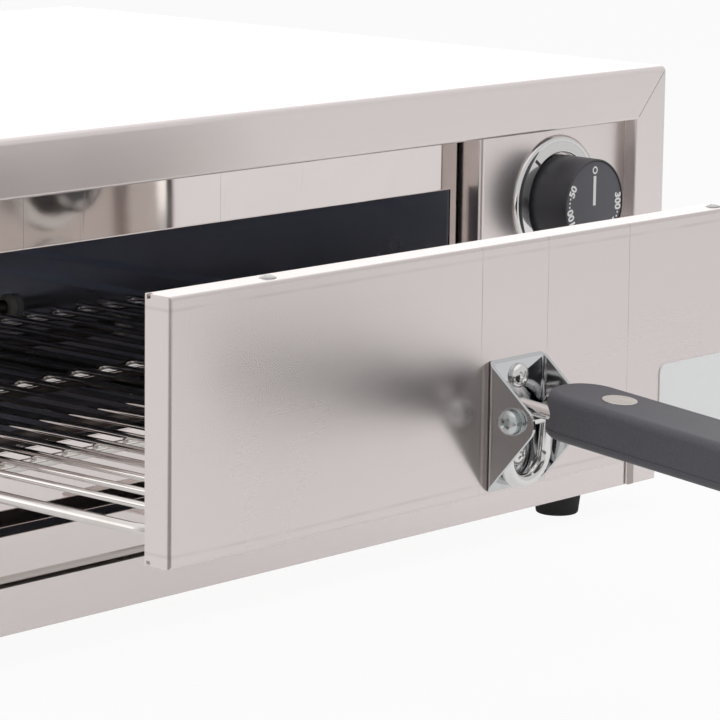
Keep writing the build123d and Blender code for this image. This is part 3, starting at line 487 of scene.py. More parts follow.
@dataclass(frozen=True)
class MouldedPlastic:
    """Moulded plastic or rubber with a fine pebbled skin."""

    name: str
    colour: Colour = (0.028, 0.028, 0.031)
    roughness: float = 0.5
    pebble: float = 1500.0
    depth: float = 0.25
    shine: float = 0.5

    def build(self) -> bpy.types.Material:
        """Makes the material.

        Returns:
            The new material.
        """
        bench = NodeBench(self.name)
        bench.fix(Metallic=0.0, Specular_IOR_Level=self.shine)
        pebble = bench.noise(self.pebble, 2.0, 0.55)
        rub = bench.noise(30.0, 3.0, 0.6, 0.5)
        colour = bench.mix(bench.spread(pebble, 0.0, 0.5), self.colour, tinted(self.colour, 1.7))
        colour = bench.mix(bench.spread(rub, 0.0, 0.3, 0.5, 0.75), colour, tinted(self.colour, 1.5))
        rough = bench.math("ADD", bench.spread(pebble, -0.05, 0.06),
                           bench.spread(rub, self.roughness * 0.92, self.roughness * 1.08))
        return bench.finish(colour, rough, bench.bump(pebble, self.depth, 0.12 * MM))


@dataclass(frozen=True)
class Fibre:
    """Matted mineral fibre or unglazed ceramic: dull, with a mottled colour."""

    name: str
    colour: Colour
    fleck: Colour
    scale: float = 260.0
    depth: float = 0.6

    def build(self) -> bpy.types.Material:
        """Makes the material.

        Returns:
            The new material.
        """
        bench = NodeBench(self.name)
        bench.fix(Metallic=0.0, Specular_IOR_Level=0.2)
        strands = bench.noise((self.scale, self.scale * 0.25, self.scale), 4.0, 0.7, 1.5)
        colour = bench.mix(bench.spread(strands, 0.0, 1.0), self.colour, self.fleck)
        rough = bench.spread(strands, 0.75, 0.95)
        return bench.finish(colour, rough, bench.bump(strands, self.depth, 0.6 * MM))


@dataclass(frozen=True)
class CoatedGloss:
    """A smooth glossy coat, such as a lamp's lens, a plate's lacquer or print."""

    name: str
    colour: Colour
    roughness: float = 0.16
    coat: float = 0.5

    def build(self) -> bpy.types.Material:
        """Makes the material.

        Returns:
            The new material.
        """
        bench = NodeBench(self.name)
        bench.fix(Metallic=0.0, Coat_Weight=self.coat, Coat_Roughness=0.08)
        cloud = bench.noise(60.0, 3.0)
        fine = bench.noise(700.0)
        colour = bench.mix(bench.spread(cloud, 0.0, 1.0), tinted(self.colour, 0.985),
                           tinted(self.colour, 1.01))
        rough = bench.spread(cloud, self.roughness * 0.8, self.roughness * 1.3)
        return bench.finish(colour, rough, bench.bump(fine, 0.04, 0.05 * MM))


class Finish(Enum):
    """The finishes of the oven, each with the recipe that makes it."""

    CASE = BrushedSteel("case_steel", colour=(0.855, 0.79, 0.775), metal=0.7)
    # The door's lines across Z are painted shade where its sheet starts to bend near the top and bottom
    # edges.
    DOOR = BrushedSteel("door_steel", colour=(0.775, 0.71, 0.695), roughness=0.25, anisotropy=0.6,
                        film_lines=(-0.0648, -0.0299, 0.0152), bend_shade_lines=(0.1585, 0.0805))
    PANEL = BrushedSteel("panel_steel", grain=Grain.ALONG_Z, roughness=0.29, anisotropy=0.0)
    # The fold steel is a darker copy of the case steel: painted shade in the inner folds of the uprights.
    FOLD = BrushedSteel("fold_painted_shade", colour=(0.44, 0.39, 0.37), grain=Grain.ALONG_Z)
    # The hem steel is a darker copy of the tray steel: painted shade along the tray's rolled lower edge.
    HEM = BrushedSteel("hem_painted_shade", colour=(0.54, 0.49, 0.465), roughness=0.3, anisotropy=0.0)
    TRAY = BrushedSteel("tray_steel", colour=(0.79, 0.725, 0.71), roughness=0.22, anisotropy=0.0)
    FRONT = BrightSteel("front_steel", roughness=0.035, film_lines=(-0.1155, -0.0158))
    BACK = BrightSteel("cover_steel", colour=(0.80, 0.785, 0.755), roughness=0.035, wave=0.02,
                       lean=(4.4, 1.9))
    BRACKET = BrightSteel("bracket_steel", colour=(0.64, 0.645, 0.655), roughness=0.08, wave=0.04)
    WIRE = BrightWire("rack_wire", colour=(0.70, 0.67, 0.65), roughness=0.05)
    CHROME = BrightWire("bright_chrome", colour=(0.80, 0.79, 0.78), stain=(0.66, 0.63, 0.6), roughness=0.06)
    STUD = BrightWire("stud_nickel", colour=(0.90, 0.87, 0.83), stain=(0.8, 0.76, 0.71), roughness=0.2)
    ZINC = PlatedSteel("zinc_plate")
    RIVET = PlatedSteel("rivet_steel", colour=(0.5, 0.51, 0.51), roughness=0.2)
    SHIELD = PlatedSteel("coated_sheet", colour=(0.56, 0.57, 0.58), roughness=0.34)
    CHAMBER = HeatedSteel("chamber_sheet")
    ELEMENT = HeatedSteel("element_sheath", colour=(0.12, 0.105, 0.10), bloom=(0.20, 0.15, 0.12),
                          roughness=0.42)
    COPPER = PlatedSteel("copper_alloy", colour=(0.78, 0.52, 0.26), patch=(0.5, 0.3, 0.16), roughness=0.3)
    GRIP = MouldedPlastic("grip_plastic", colour=(0.064, 0.063, 0.073), roughness=0.5)
    KNOB = MouldedPlastic("knob_plastic", colour=(0.032, 0.032, 0.038), roughness=0.38, pebble=2200.0,
                          depth=0.1)
    KNOB_FACE = MouldedPlastic("knob_face", colour=(0.080, 0.079, 0.091), roughness=0.5, pebble=1800.0)
    HOUSING = MouldedPlastic("housing_plastic", colour=(0.10, 0.10, 0.11), roughness=0.5)
    RUBBER = MouldedPlastic("foot_rubber", colour=(0.15, 0.148, 0.158), roughness=0.62, pebble=900.0,
                            shine=0.35)
    SLEEVE = MouldedPlastic("wire_sleeve", colour=(0.42, 0.07, 0.04), roughness=0.55)
    WOOL = Fibre("mineral_wool", (0.62, 0.55, 0.38), (0.78, 0.72, 0.56))
    CERAMIC = Fibre("white_ceramic", (0.74, 0.71, 0.64), (0.86, 0.84, 0.78), 120.0, 0.12)
    GREEN = CoatedGloss("green_lens", (0.03, 0.30, 0.07))
    AMBER = CoatedGloss("amber_lens", (0.75, 0.22, 0.02))
    PLATE = CoatedGloss("white_plate", (0.96, 0.965, 0.97), 0.35, 0.2)
    PRINT = CoatedGloss("white_print", (0.82, 0.82, 0.80), 0.4, 0.0)
    SEAM = HeatedSteel("seam_shadow", colour=(0.40, 0.37, 0.36), bloom=(0.44, 0.41, 0.40))

    def material(self) -> bpy.types.Material:
        """The finish's material, made the first time that it is asked for."""
        return bpy.data.materials.get(self.value.name) or self.value.build()


def new_piece(name: str, shape: Shape, sharp: float = SHARP_TURN) -> Piece:
    """Makes an object of a finished shape, smooth except across sharp edges.

    Args:
        name: the piece's name.
        shape: its geometry, which is freed here.
        sharp: the angle in degrees over which an edge stays sharp.

    Returns:
        The new object, at the origin.
    """
    mesh = bpy.data.meshes.new(name)
    shape.to_mesh(mesh)
    shape.free()
    mesh.polygons.foreach_set("use_smooth", [True] * len(mesh.polygons))
    mesh.set_sharp_from_angle(angle=math.radians(sharp))
    piece = bpy.data.objects.new(name, mesh)
    bpy.context.scene.collection.objects.link(piece)
    return piece


def soften(shape: Shape, width: float, segments: int = 2) -> None:
    """Rounds every edge that turns by more than the usual angle.

    Args:
        shape: the geometry.
        width: the rounding's width in metres.
        segments: the rounding's steps.
    """
    limit = math.radians(BEVEL_TURN)
    edges = [edge for edge in shape.edges if edge.is_manifold and edge.calc_face_angle() > limit]
    bmesh.ops.bevel(shape, geom=edges, offset=width, offset_type="OFFSET", affect="EDGES",
                    segments=segments, profile=0.5, material=-1, clamp_overlap=True)


def turned(name: str, outline: Iterable[tuple[float, float]], middle: Vector, side: Side,
           steps: int, edge: float, segments: int = 2) -> Piece:
    """A turned piece: an outline spun round an axis.

    Args:
        name: the piece's name.
        outline: radius and height pairs in metres, in order round the section.
        middle: the point on the axis at height 0.
        side: where the axis points.
        steps: the number of sides.
        edge: how wide the sharp edges are rounded, in metres.
        segments: the rounding's steps.

    Returns:
        The new object.
    """
    shape = bmesh.new()
    verts = [shape.verts.new((radius, 0.0, height)) for radius, height in outline]
    chain = [shape.edges.new(pair) for pair in zip(verts, verts[1:] + verts[:1])]
    bmesh.ops.spin(shape, geom=verts + chain, cent=(0, 0, 0), axis=(0, 0, 1), dvec=(0, 0, 0),
                   angle=math.tau, steps=steps, use_merge=True, use_duplicate=False)
    bmesh.ops.remove_doubles(shape, verts=shape.verts, dist=SEAM_REACH)
    bmesh.ops.dissolve_degenerate(shape, edges=shape.edges, dist=SPECK)
    soften(shape, edge, segments)
    bmesh.ops.recalc_face_normals(shape, faces=shape.faces)
    turn = Vector((0, 0, 1)).rotation_difference(Vector(side.value)).to_matrix().to_4x4()
    bmesh.ops.transform(shape, matrix=Matrix.Translation(middle) @ turn, verts=shape.verts)
    return new_piece(name, shape)


def merged(node: str) -> Shape:
    """A copy of a node's mesh with its doubles merged and its flat faces whole.

    Args:
        node: the node's name.

    Returns:
        The new geometry.
    """
    shape = bmesh.new()
    shape.from_mesh(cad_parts[node].data)
    bmesh.ops.remove_doubles(shape, verts=shape.verts, dist=DOUBLES_REACH)
    bmesh.ops.dissolve_limit(shape, angle_limit=math.radians(FLAT_TURN), use_dissolve_boundaries=False,
                             verts=shape.verts, edges=shape.edges, delimit=set())
    return shape


def add_block(shape: Shape, size: Triple, place: Matrix) -> None:
    """Adds a block.

    Args:
        shape: what it is added to.
        size: its size along its own X, Y and Z.
        place: where its middle lies and how it is turned.
    """
    made = bmesh.ops.create_cube(shape, size=1.0)["verts"]
    bmesh.ops.transform(shape, matrix=place @ Matrix.Diagonal((*size, 1.0)), verts=made)


def add_bead(shape: Shape, middle: Vector, half: Vector, rise: Vector, run: Vector,
             steps: int = 8) -> None:
    """Adds a half round bead: an arc on a flat foot, drawn along a run.

    Args:
        shape: what it is added to.
        middle: the middle of the foot's end.
        half: the way from there to the foot's edge.
        rise: the way from there to the top of the arc.
        run: how far and which way the arc is drawn.
        steps: the sides of the arc.
    """
    turns = [math.pi * step / steps for step in range(steps + 1)]
    verts = [shape.verts.new(middle + half * math.cos(turn) + rise * math.sin(turn)) for turn in turns]
    grown = bmesh.ops.extrude_face_region(shape, geom=[shape.faces.new(verts)])["geom"]
    moved = [part for part in grown if isinstance(part, bmesh.types.BMVert)]
    bmesh.ops.translate(shape, vec=run, verts=moved)
    bmesh.ops.recalc_face_normals(shape, faces=shape.faces)


@dataclass
class SubAssembly:
    """A group of pieces that ride on one body."""

    body: str = "root"
    pieces: list[Piece] = field(default_factory=list)

    def dress(self, node: str, finish: Finish) -> None:
        """Gives a node that stays as it is its finish.

        Args:
            node: the node's name.
            finish: its finish.
        """
        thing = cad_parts[node]
        thing.data.materials.clear()
        thing.data.materials.append(finish.material())
        LOG.info("%s dressed in %s", node, finish.name)

    def place(self, piece: Piece, finish: Finish, *nodes: str) -> None:
        """Finishes a new piece and lets it ride on the body.

        Args:
            piece: the piece.
            finish: its finish.
            nodes: the nodes that it stands for.
        """
        piece.data.materials.clear()
        piece.data.materials.append(finish.material())
        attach(piece, self.body)
        if nodes:
            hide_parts(*nodes)
        self.pieces.append(piece)
        LOG.info("%s: %d faces", piece.name, len(piece.data.polygons))

    def refine(self, finish: Finish, width: float, *nodes: str, segments: int = 2) -> None:
        """Stands a merged copy of each node in its place, with its sharp edges rounded.

        Args:
            finish: their finish.
            width: how wide the edges are rounded, in metres.
            nodes: the nodes' names.
            segments: the rounding's steps.
        """
        for node in nodes:
            self.refine_one(node, finish, width, segments)

    def refine_one(self, node: str, finish: Finish, width: float, segments: int) -> None:
        """Stands a merged copy of one node in its place.

        Args:
            node: the node's name.
            finish: its finish.
            width: how wide the edges are rounded, in metres.
            segments: the rounding's steps.
        """
        shape = merged(node)
        if width:
            soften(shape, width, segments)
        piece = new_piece(f"{node}_finished", shape)
        even = piece.modifiers.new("even_shading", "WEIGHTED_NORMAL")
        even.keep_sharp = True
        self.place(piece, finish, node)


@dataclass(frozen=True)
class Softbox:
    """A square soft lamp: where it hangs, what it points at, its side in metres and its watts."""

    name: str
    place: Triple
    target: Triple
    size: float
    power: float

    def build(self) -> None:
        """Hangs the lamp, which no mirror sees."""
        data = bpy.data.lights.new(self.name, "AREA")
        data.size = self.size
        data.energy = self.power
        thing = bpy.data.objects.new(self.name, data)
        thing.location = self.place
        thing.rotation_euler = (Vector(self.target) - Vector(self.place)).to_track_quat("-Z", "Y").to_euler()
        thing.visible_glossy = False
        bpy.context.scene.collection.objects.link(thing)


@dataclass
class Studio:
    """The floor, the light and the camera."""

    eye: Vector = field(default_factory=lambda: Vector((-0.98624, -0.97859, 0.34780)))
    right: Vector = field(default_factory=lambda: Vector((0.67250087, -0.73998728, 0.01270438)))
    up: Vector = field(default_factory=lambda: Vector((0.12700639, 0.13230066, 0.98303912)))
    forward: Vector = field(default_factory=lambda: Vector((0.72911724, 0.65948113, -0.18295543)))
    lens: float = 181.85
    sensor: float = 36.0
    sight: tuple[float, float] = (0.01, 20.0)
    floor_reach: float = 4.0
    floor_grey: float = 0.80
    floor_in_view: float = 0.93
    floor_in_metal: float = 0.36
    card_colour: Colour = (0.12, 0.11, 0.10)
    card_size: tuple[float, float] = (0.8, 0.62)
    card_distance: float = 0.86
    card_shift: Triple = (0.02, 0.0, 0.004)
    matt_air: float = 0.42
    front_shade: float = 0.34
    rear_gleam: float = 0.5
    lamps: tuple[Softbox, ...] = (
        Softbox("top_softbox", (-0.15, -0.25, 1.5), (0.0, 0.0, 0.1), 1.5, 11.0),
        Softbox("right_softbox", (1.3, -1.0, 0.9), (0.0, -0.1, 0.1), 1.0, 5.0),
        Softbox("left_softbox", (-1.3, 0.4, 0.9), (-0.1, -0.1, 0.1), 0.9, 4.0),
    )

    def build(self) -> None:
        """Builds the whole stage."""
        self.camera()
        self.floor()
        self.flag()
        self.world()
        for lamp in self.lamps:
            lamp.build()
        bpy.context.scene.view_settings.view_transform = "Standard"

    def camera(self) -> None:
        """The camera at the photograph's place."""
        data = bpy.data.cameras.new("camera")
        data.lens = self.lens
        data.sensor_width = self.sensor
        data.clip_start, data.clip_end = self.sight
        thing = bpy.data.objects.new("camera", data)
        rows = Matrix((self.right, self.up, -self.forward)).transposed()
        thing.matrix_world = Matrix.Translation(self.eye) @ rows.to_4x4()
        bpy.context.scene.collection.objects.link(thing)
        bpy.context.scene.camera = thing

    def floor(self) -> None:
        """A plain pale floor that the camera sees as white with a soft shadow."""
        shape = bmesh.new()
        bmesh.ops.create_circle(shape, cap_ends=True, segments=96, radius=self.floor_reach)
        bench = NodeBench("pale_floor")
        bench.fix(Base_Color=(*(self.floor_grey,) * 3, 1.0), Roughness=0.9, Specular_IOR_Level=0.0)
        path = bench.node("ShaderNodeLightPath").outputs
        mirrored = bench.math("MULTIPLY", path["Is Glossy Ray"], self.floor_in_metal)
        seen = bench.math("MULTIPLY_ADD", path["Is Camera Ray"], self.floor_in_view, mirrored)
        bench.blend(seen, bench.shader, bench.node("ShaderNodeEmission"), "Material Output")
        piece = new_piece("floor", shape)
        piece.data.materials.append(bench.material)

    def flag(self) -> None:
        """A dark card on the floor towards the camera, which only reflections see."""
        shape = bmesh.new()
        bmesh.ops.create_grid(shape, x_segments=1, y_segments=1, size=0.5)
        towards = Vector((self.eye.x, self.eye.y, 0.0)).normalized()
        turn = Matrix.Rotation(math.atan2(towards.y, towards.x), 4, "Z")
        size = Matrix.Diagonal((*self.card_size, 1.0, 1.0))
        middle = Matrix.Translation(towards * self.card_distance + Vector(self.card_shift))
        bmesh.ops.transform(shape, matrix=middle @ turn @ size, verts=shape.verts)
        bench = NodeBench("dark_card")
        bench.fix(Base_Color=(*self.card_colour, 1.0), Roughness=0.9)
        piece = new_piece("dark_card", shape)
        piece.data.materials.append(bench.material)
        piece.visible_camera = piece.visible_diffuse = piece.visible_shadow = False

    def world(self) -> None:
        """White behind everything that is seen or mirrored, and a dimmer even light on matt things."""
        world = bpy.data.worlds.new("studio_air")
        bpy.context.scene.world = world
        world.use_nodes = True
        air = NodeTree(world.node_tree)
        matt, seen = air.tree.nodes["Background"], air.node("ShaderNodeBackground")
        for shader in (matt, seen):
            shader.inputs["Color"].default_value = (1.0, 1.0, 1.0, 1.0)
        matt.inputs["Strength"].default_value = self.matt_air
        path = air.node("ShaderNodeLightPath").outputs
        air.join(self.mirrored_air(air, path["Is Glossy Ray"]), seen.inputs["Strength"])
        share = air.math("MAXIMUM", path["Is Camera Ray"], path["Is Glossy Ray"])
        share = air.math("MAXIMUM", share, path["Is Transmission Ray"])
        air.blend(share, matt, seen, "World Output")

    def mirrored_air(self, air: NodeTree, glossy: Socket) -> Socket:
        """How white the air is: a mirror sees it dimmer in front of the oven and brighter low behind it.

        Args:
            air: the world's nodes.
            glossy: whether a mirror looks.

        Returns:
            The strength.
        """
        parts = air.node("ShaderNodeSeparateXYZ")
        air.join(air.node("ShaderNodeTexCoord").outputs["Generated"], parts.inputs[0])
        shade = (("Z", 1.0, 0.0, 0.6, 0.85), ("Y", 1.0, 0.0, -0.05, 0.35))
        gleam = (("Z", 1.0, 0.0, 0.35, 0.6), ("Y", 0.0, 1.0, 0.3, 0.5))
        strength = 1.0
        for amount, spans in ((-self.front_shade, shade), (self.rear_gleam, gleam)):
            share = glossy
            for axis, *span in spans:
                fade = air.spread(parts.outputs[axis], *span, interpolation_type="SMOOTHSTEP")
                share = air.math("MULTIPLY", share, fade)
            strength = air.math("MULTIPLY_ADD", share, amount, strength)
        return strength


@dataclass
class Case(SubAssembly):
    """The wrap with its mitres and folds, the base, the back and their screws and feet."""

    foot_edge: float = 0.3 * MM
    sheet_edge: float = 0.18 * MM
    mitre_width: float = 0.3 * MM
    mitre_rise: float = 0.08 * MM
    side_rail: float = 20.5 * MM
    top_rail: float = 21.9 * MM
    bottom_rail: float = 17.5 * MM
    outer_fold: float = 2.5 * MM
    inner_fold: float = 1.5 * MM
    post_fold: float = 4.2 * MM
    post_rise: float = 0.3 * MM

    def build(self) -> None:
        """Builds and dresses the case."""
        self.refine(Finish.CASE, self.sheet_edge, "outer_casing", "base_panel", "rear_panel")
        self.refine(Finish.RUBBER, self.foot_edge, "feet")
        self.refine(Finish.ZINC, SMALL_EDGE, "side_screws", "rear_screws", "foot_screws")
        self.dress("foot_nuts", Finish.ZINC)
        self.mitres()
        self.post_folds()

    def mitres(self) -> None:
        """The fine joints where the front rails meet at the top corners."""
        low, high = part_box("outer_casing")
        shape = bmesh.new()
        for side in (-1, 1):
            outer = Vector((side * (high.x - self.outer_fold), low.y, high.z - self.outer_fold))
            inner = Vector((side * (high.x - self.side_rail + self.inner_fold), low.y,
                            high.z - self.top_rail + self.inner_fold))
            along = inner - outer
            turn = Matrix.Rotation(math.atan2(-along.z, along.x), 4, "Y")
            add_block(shape, (along.length, self.mitre_rise, self.mitre_width),
                      Matrix.Translation((outer + inner) / 2) @ turn)
        self.place(new_piece("frame_mitres", shape), Finish.SEAM)

    def post_folds(self) -> None:
        """The rounded inner folds of the uprights, which run on down across the bottom rail, in darker steel
        that paints the shade in the folds.
        """
        low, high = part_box("outer_casing")
        half = self.post_fold / 2
        shape = bmesh.new()
        for side in (-1, 1):
            middle = Vector((side * (high.x - self.side_rail + half), low.y, low.z))
            add_bead(shape, middle, Vector((half, 0, 0)), Vector((0, -self.post_rise, 0)),
                     Vector((0, 0, self.bottom_rail)))
        self.place(new_piece("post_folds", shape, BEAD_TURN), Finish.FOLD)


@dataclass
class FrontPlates(SubAssembly):
    """The bright plates round the opening and the panel of the controls."""

    sheet_edge: float = 0.15 * MM

    def build(self) -> None:
        """Builds and dresses the plates."""
        self.refine(Finish.FRONT, self.sheet_edge, "front_fascia", "sill_panel")
        self.refine(Finish.PANEL, self.sheet_edge, "control_panel")


@dataclass
class Chamber(SubAssembly):
    """The chamber with its runners, elements and wool."""

    liner_edge: float = 0.15 * MM
    spool_edge: float = 0.3 * MM
    pin_edge: float = 0.2 * MM
    wool_edge: float = 2.0 * MM
    wool_rounds: int = 5
    wool_step: float = 12.0 * MM
    wool_tufts: float = 45.0
    wool_depth: float = 0.7 * MM

    def build(self) -> None:
        """Builds and dresses the chamber."""
        self.refine(Finish.CHAMBER, self.liner_edge, "cavity_liner")
        self.refine(Finish.CHAMBER, SMALL_EDGE, "left_rack_runner", "right_rack_runner", "element_supports")
        self.refine(Finish.SHIELD, SMALL_EDGE, "left_tray_runner", "right_tray_runner", "heat_shield")
        self.refine(Finish.ELEMENT, 0.0, "lower_elements", "upper_elements")
        self.refine(Finish.CERAMIC, self.spool_edge, "element_insulators")
        self.refine(Finish.ZINC, self.pin_edge, "element_pins")
        self.refine(Finish.COPPER, 0.0, "element_links", "thermostat_bulb", "capillary_tube")
        self.wool()

    def wool(self) -> None:
        """Blankets of wool with an uneven matted surface."""
        shape = merged("insulation")
        soften(shape, self.wool_edge)
        bmesh.ops.triangulate(shape, faces=shape.faces)
        for _ in range(self.wool_rounds):
            long = [edge for edge in shape.edges if edge.calc_length() > self.wool_step]
            if not long:
                break
            bmesh.ops.subdivide_edges(shape, edges=long, cuts=1, use_grid_fill=False)
            bmesh.ops.triangulate(shape, faces=[face for face in shape.faces if len(face.verts) > 3])
        shape.normal_update()
        for vert in shape.verts:
            sink = 0.5 + 0.5 * noise.noise(vert.co * self.wool_tufts)
            vert.co -= vert.normal * sink * self.wool_depth
        self.place(new_piece("wool_blankets", shape, WOOL_TURN), Finish.WOOL, "insulation")


@dataclass
class Door(SubAssembly):
    """The door that carries the rack."""

    body: str = "drawer"
    plate_edge: float = 0.1 * MM
    rivet_head: float = 2.8 * MM
    rivet_rise: float = 0.8 * MM
    rivet_core: float = 0.95 * MM

    def build(self) -> None:
        """Builds and dresses the door."""
        self.refine(Finish.DOOR, SMALL_EDGE, "door_panel")
        self.refine(Finish.BACK, SMALL_EDGE, "door_cover")
        self.refine(Finish.PLATE, self.plate_edge, "blank_plate")
        self.rivets()

    def rivets(self) -> None:
        """Blind rivets: a low dome with a dimple and the stub of its pin."""
        low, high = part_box("door_rivets")
        reach, rise, core, pin, sink = self.rivet_head, self.rivet_rise, self.rivet_core, 1.5 * MM, 2.0 * MM
        depth = (low.y + high.y) / 2
        outline = [(0.0, -sink), (pin, -sink), (pin, 0.0), (reach, 0.0), (reach, 0.25 * rise),
                   (0.72 * reach, 0.82 * rise), (1.35 * core, rise), (1.15 * core, 0.45 * rise),
                   (core, 0.45 * rise), (0.8 * core, 0.85 * rise), (0.0, 0.9 * rise)]
        parts = []
        for x in (low.x + reach, high.x - reach):
            for z, side in ((high.z - rise, Side.UP), (low.z + rise, Side.DOWN)):
                parts.append(turned("door_rivets_finished", outline, Vector((x, depth, z)), side,
                                    steps=32, edge=0.08 * MM))
        self.place(joined(parts), Finish.RIVET, "door_rivets")


def carve(piece: Piece, cutter: Shape) -> None:
    """Cuts a shape out of a piece.

    Args:
        piece: the piece.
        cutter: the shape, which is freed here.
    """
    tool = new_piece("cutter", cutter)
    cut = piece.modifiers.new("cut", "BOOLEAN")
    cut.operation = "DIFFERENCE"
    cut.solver = "EXACT"
    cut.object = tool
    result = bpy.data.meshes.new_from_object(piece.evaluated_get(bpy.context.evaluated_depsgraph_get()))
    piece.modifiers.clear()
    result.set_sharp_from_angle(angle=math.radians(SHARP_TURN))
    piece.data = result
    bpy.data.objects.remove(tool)


def joined(parts: list[Piece]) -> Piece:
    """Adds the later parts' meshes to the first part, and removes them.

    Args:
        parts: the objects, all in place.

    Returns:
        The first part with all the meshes.
    """
    first, *others = parts
    shape = bmesh.new()
    for part in parts:
        shape.from_mesh(part.data)
    shape.to_mesh(first.data)
    shape.free()
    for part in others:
        bpy.data.objects.remove(part)
    return first


@dataclass
class Rack(SubAssembly):
    """The wire rack, its clips and its welds."""

    body: str = "drawer"
    clip_edge: float = 0.15 * MM
    weld_radius: float = 1.05 * MM
    weld_shape: Triple = (1.1, 1.25, 0.34)
    rod_count: int = 21

    def build(self) -> None:
        """Builds and dresses the rack."""
        self.refine(Finish.WIRE, 0.0, "rack_frame", "rack_rods", "rack_cross_bars")
        self.refine(Finish.ZINC, self.clip_edge, "rack_clips")
        self.refine(Finish.ZINC, SMALL_EDGE, "clip_screws")
        self.welds()

    def welds(self) -> None:
        """A small flattened bead where each rod lies on the rim and on each cross bar."""
        low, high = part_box("rack_rods")
        rim_low, rim_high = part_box("rack_frame")
        bars_low, bars_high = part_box("rack_cross_bars")
        half_wire, rod = (rim_high.z - rim_low.z) / 2, high.z - low.z
        pitch = (high.x - low.x - rod) / (self.rod_count - 1)
        rows = [y for near, far in ((rim_low, rim_high), (bars_low, bars_high))
                for y in (near.y + half_wire, far.y - half_wire)]
        shape = bmesh.new()
        size = Matrix.Diagonal((*self.weld_shape, 1.0))
        for number in range(self.rod_count):
            x = low.x + rod / 2 + number * pitch
            for y in rows:
                made = bmesh.ops.create_icosphere(shape, subdivisions=2, radius=self.weld_radius)["verts"]
                middle = Matrix.Translation((x, y, rim_high.z))
                bmesh.ops.transform(shape, matrix=middle @ size, verts=made)
        self.place(new_piece("rack_welds", shape, WELD_TURN), Finish.WIRE)


@dataclass
class Bracket(SubAssembly):
    """The handle's bracket with its bolt and washers."""

    body: str = "drawer"
    sheet_edge: float = 0.2 * MM
    head_radius: float = 4.2 * MM
    head_height: float = 2.4 * MM
    shank_radius: float = 2.0 * MM
    cross_width: float = 6.4 * MM
    cross_slot: float = 1.6 * MM
    cross_depth: float = 1.05 * MM
    cross_taper: Triple = (0.5, 0.55, 1.0)
    cross_turn: float = 45.0

    def build(self) -> None:
        """Builds and dresses the bracket."""
        self.refine(Finish.BRACKET, self.sheet_edge, "handle_bracket", segments=3)
        self.refine(Finish.ZINC, SMALL_EDGE, "pivot_flat_washer", "pivot_spring_washer", "pivot_nut")
        self.dress("bracket_nuts", Finish.ZINC)
        low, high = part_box("pivot_bolt")
        middle = (low + high) / 2
        seat = Vector((low.x + self.head_height, middle.y, middle.z))
        bolt = self.pan_head("pivot_bolt_finished", seat, Side.LEFT, high.x - seat.x)
        self.place(bolt, Finish.ZINC, "pivot_bolt")
        low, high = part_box("bracket_screws")
        seats = [Vector(((low.x + high.x) / 2, low.y + self.head_height, z))
                 for z in (low.z + self.head_radius, high.z - self.head_radius)]
        screws = [self.pan_head("bracket_screws_finished", seat, Side.FRONT, high.y - seat.y)
                  for seat in seats]
        self.place(joined(screws), Finish.CHROME, "bracket_screws")

    def pan_head(self, name: str, seat: Vector, side: Side, length: float) -> Piece:
        """A domed screw with a tapered cross recess.

        Args:
            name: the piece's name.
            seat: the middle of its head's underside.
            side: where the head looks.
            length: the shank's length.

        Returns:
            The new object.
        """
        radius, height, shank, tip = self.head_radius, self.head_height, self.shank_radius, 0.3 * MM
        outline = [(0.0, height), (0.35 * radius, 0.985 * height), (0.66 * radius, 0.88 * height),
                   (0.88 * radius, 0.66 * height), (radius, 0.34 * height), (radius, 0.0), (shank, 0.0),
                   (shank, tip - length), (shank - tip, -length), (0.0, -length)]
        screw = turned(name, outline, seat, side, steps=40, edge=0.06 * MM)
        for turn in (0.0, 90.0):
            carve(screw, self.cross_arm(seat, side, turn + self.cross_turn))
        return screw

    def cross_arm(self, seat: Vector, side: Side, turn: float) -> Shape:
        """One arm of the cross recess, narrower towards its bottom.

        Args:
            seat: the middle of the head's underside.
            side: where the head looks.
            turn: the arm's turn round the axis, in degrees.

        Returns:
            The cutter.
        """
        shape = bmesh.new()
        made = bmesh.ops.create_cube(shape, size=1.0)["verts"]
        bottom = [vert for vert in made if vert.co.z < 0]
        bmesh.ops.scale(shape, vec=self.cross_taper, verts=bottom)
        size = Matrix.Diagonal((self.cross_width, self.cross_slot, 2 * self.cross_depth, 1.0))
        up = Matrix.Translation((0, 0, self.head_height))
        aim = Vector((0, 0, 1)).rotation_difference(Vector(side.value)).to_matrix().to_4x4()
        spin = Matrix.Rotation(math.radians(turn), 4, "Z")
        place = Matrix.Translation(seat) @ aim @ up @ spin @ size
        bmesh.ops.transform(shape, matrix=place, verts=made)
        return shape


@dataclass
class Handle(SubAssembly):
    """The wire, the sleeve and the grip that fold at the pivot."""

    body: str = "handle"
    sleeve_edge: float = 0.1 * MM
    grip_edge: float = 0.5 * MM
    stud_edge: float = 0.15 * MM

    def build(self) -> None:
        """Builds and dresses the handle."""
        self.refine(Finish.CHROME, self.sleeve_edge, "pivot_sleeve")
        self.refine(Finish.CHROME, 0.0, "handle_bail")
        self.refine(Finish.GRIP, self.grip_edge, "grip_upper", "grip_lower")
        self.refine(Finish.STUD, self.stud_edge, "grip_stud")


@dataclass
class Tray(SubAssembly):
    """The crumb tray."""

    body: str = "crumb_tray"
    tab_reach: float = 9.0 * MM
    hem_height: float = 2.8 * MM
    hem_rise: float = 0.9 * MM
    hem_sink: float = 0.1 * MM

    def build(self) -> None:
        """Builds and dresses the tray."""
        self.refine(Finish.TRAY, SMALL_EDGE, "crumb_tray")
        self.hem()

    def hem(self) -> None:
        """The rolled lower edge of the tray's front, in darker steel that paints the shade along the roll."""
        low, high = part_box("crumb_tray")
        half = self.hem_height / 2
        middle = Vector((low.x, low.y + self.tab_reach + self.hem_sink, low.z + half))
        shape = bmesh.new()
        add_bead(shape, middle, Vector((0, 0, -half)), Vector((0, -self.hem_rise, 0)),
                 Vector((high.x - low.x, 0, 0)), 10)
        self.place(new_piece("tray_hem", shape, BEAD_TURN), Finish.HEM)


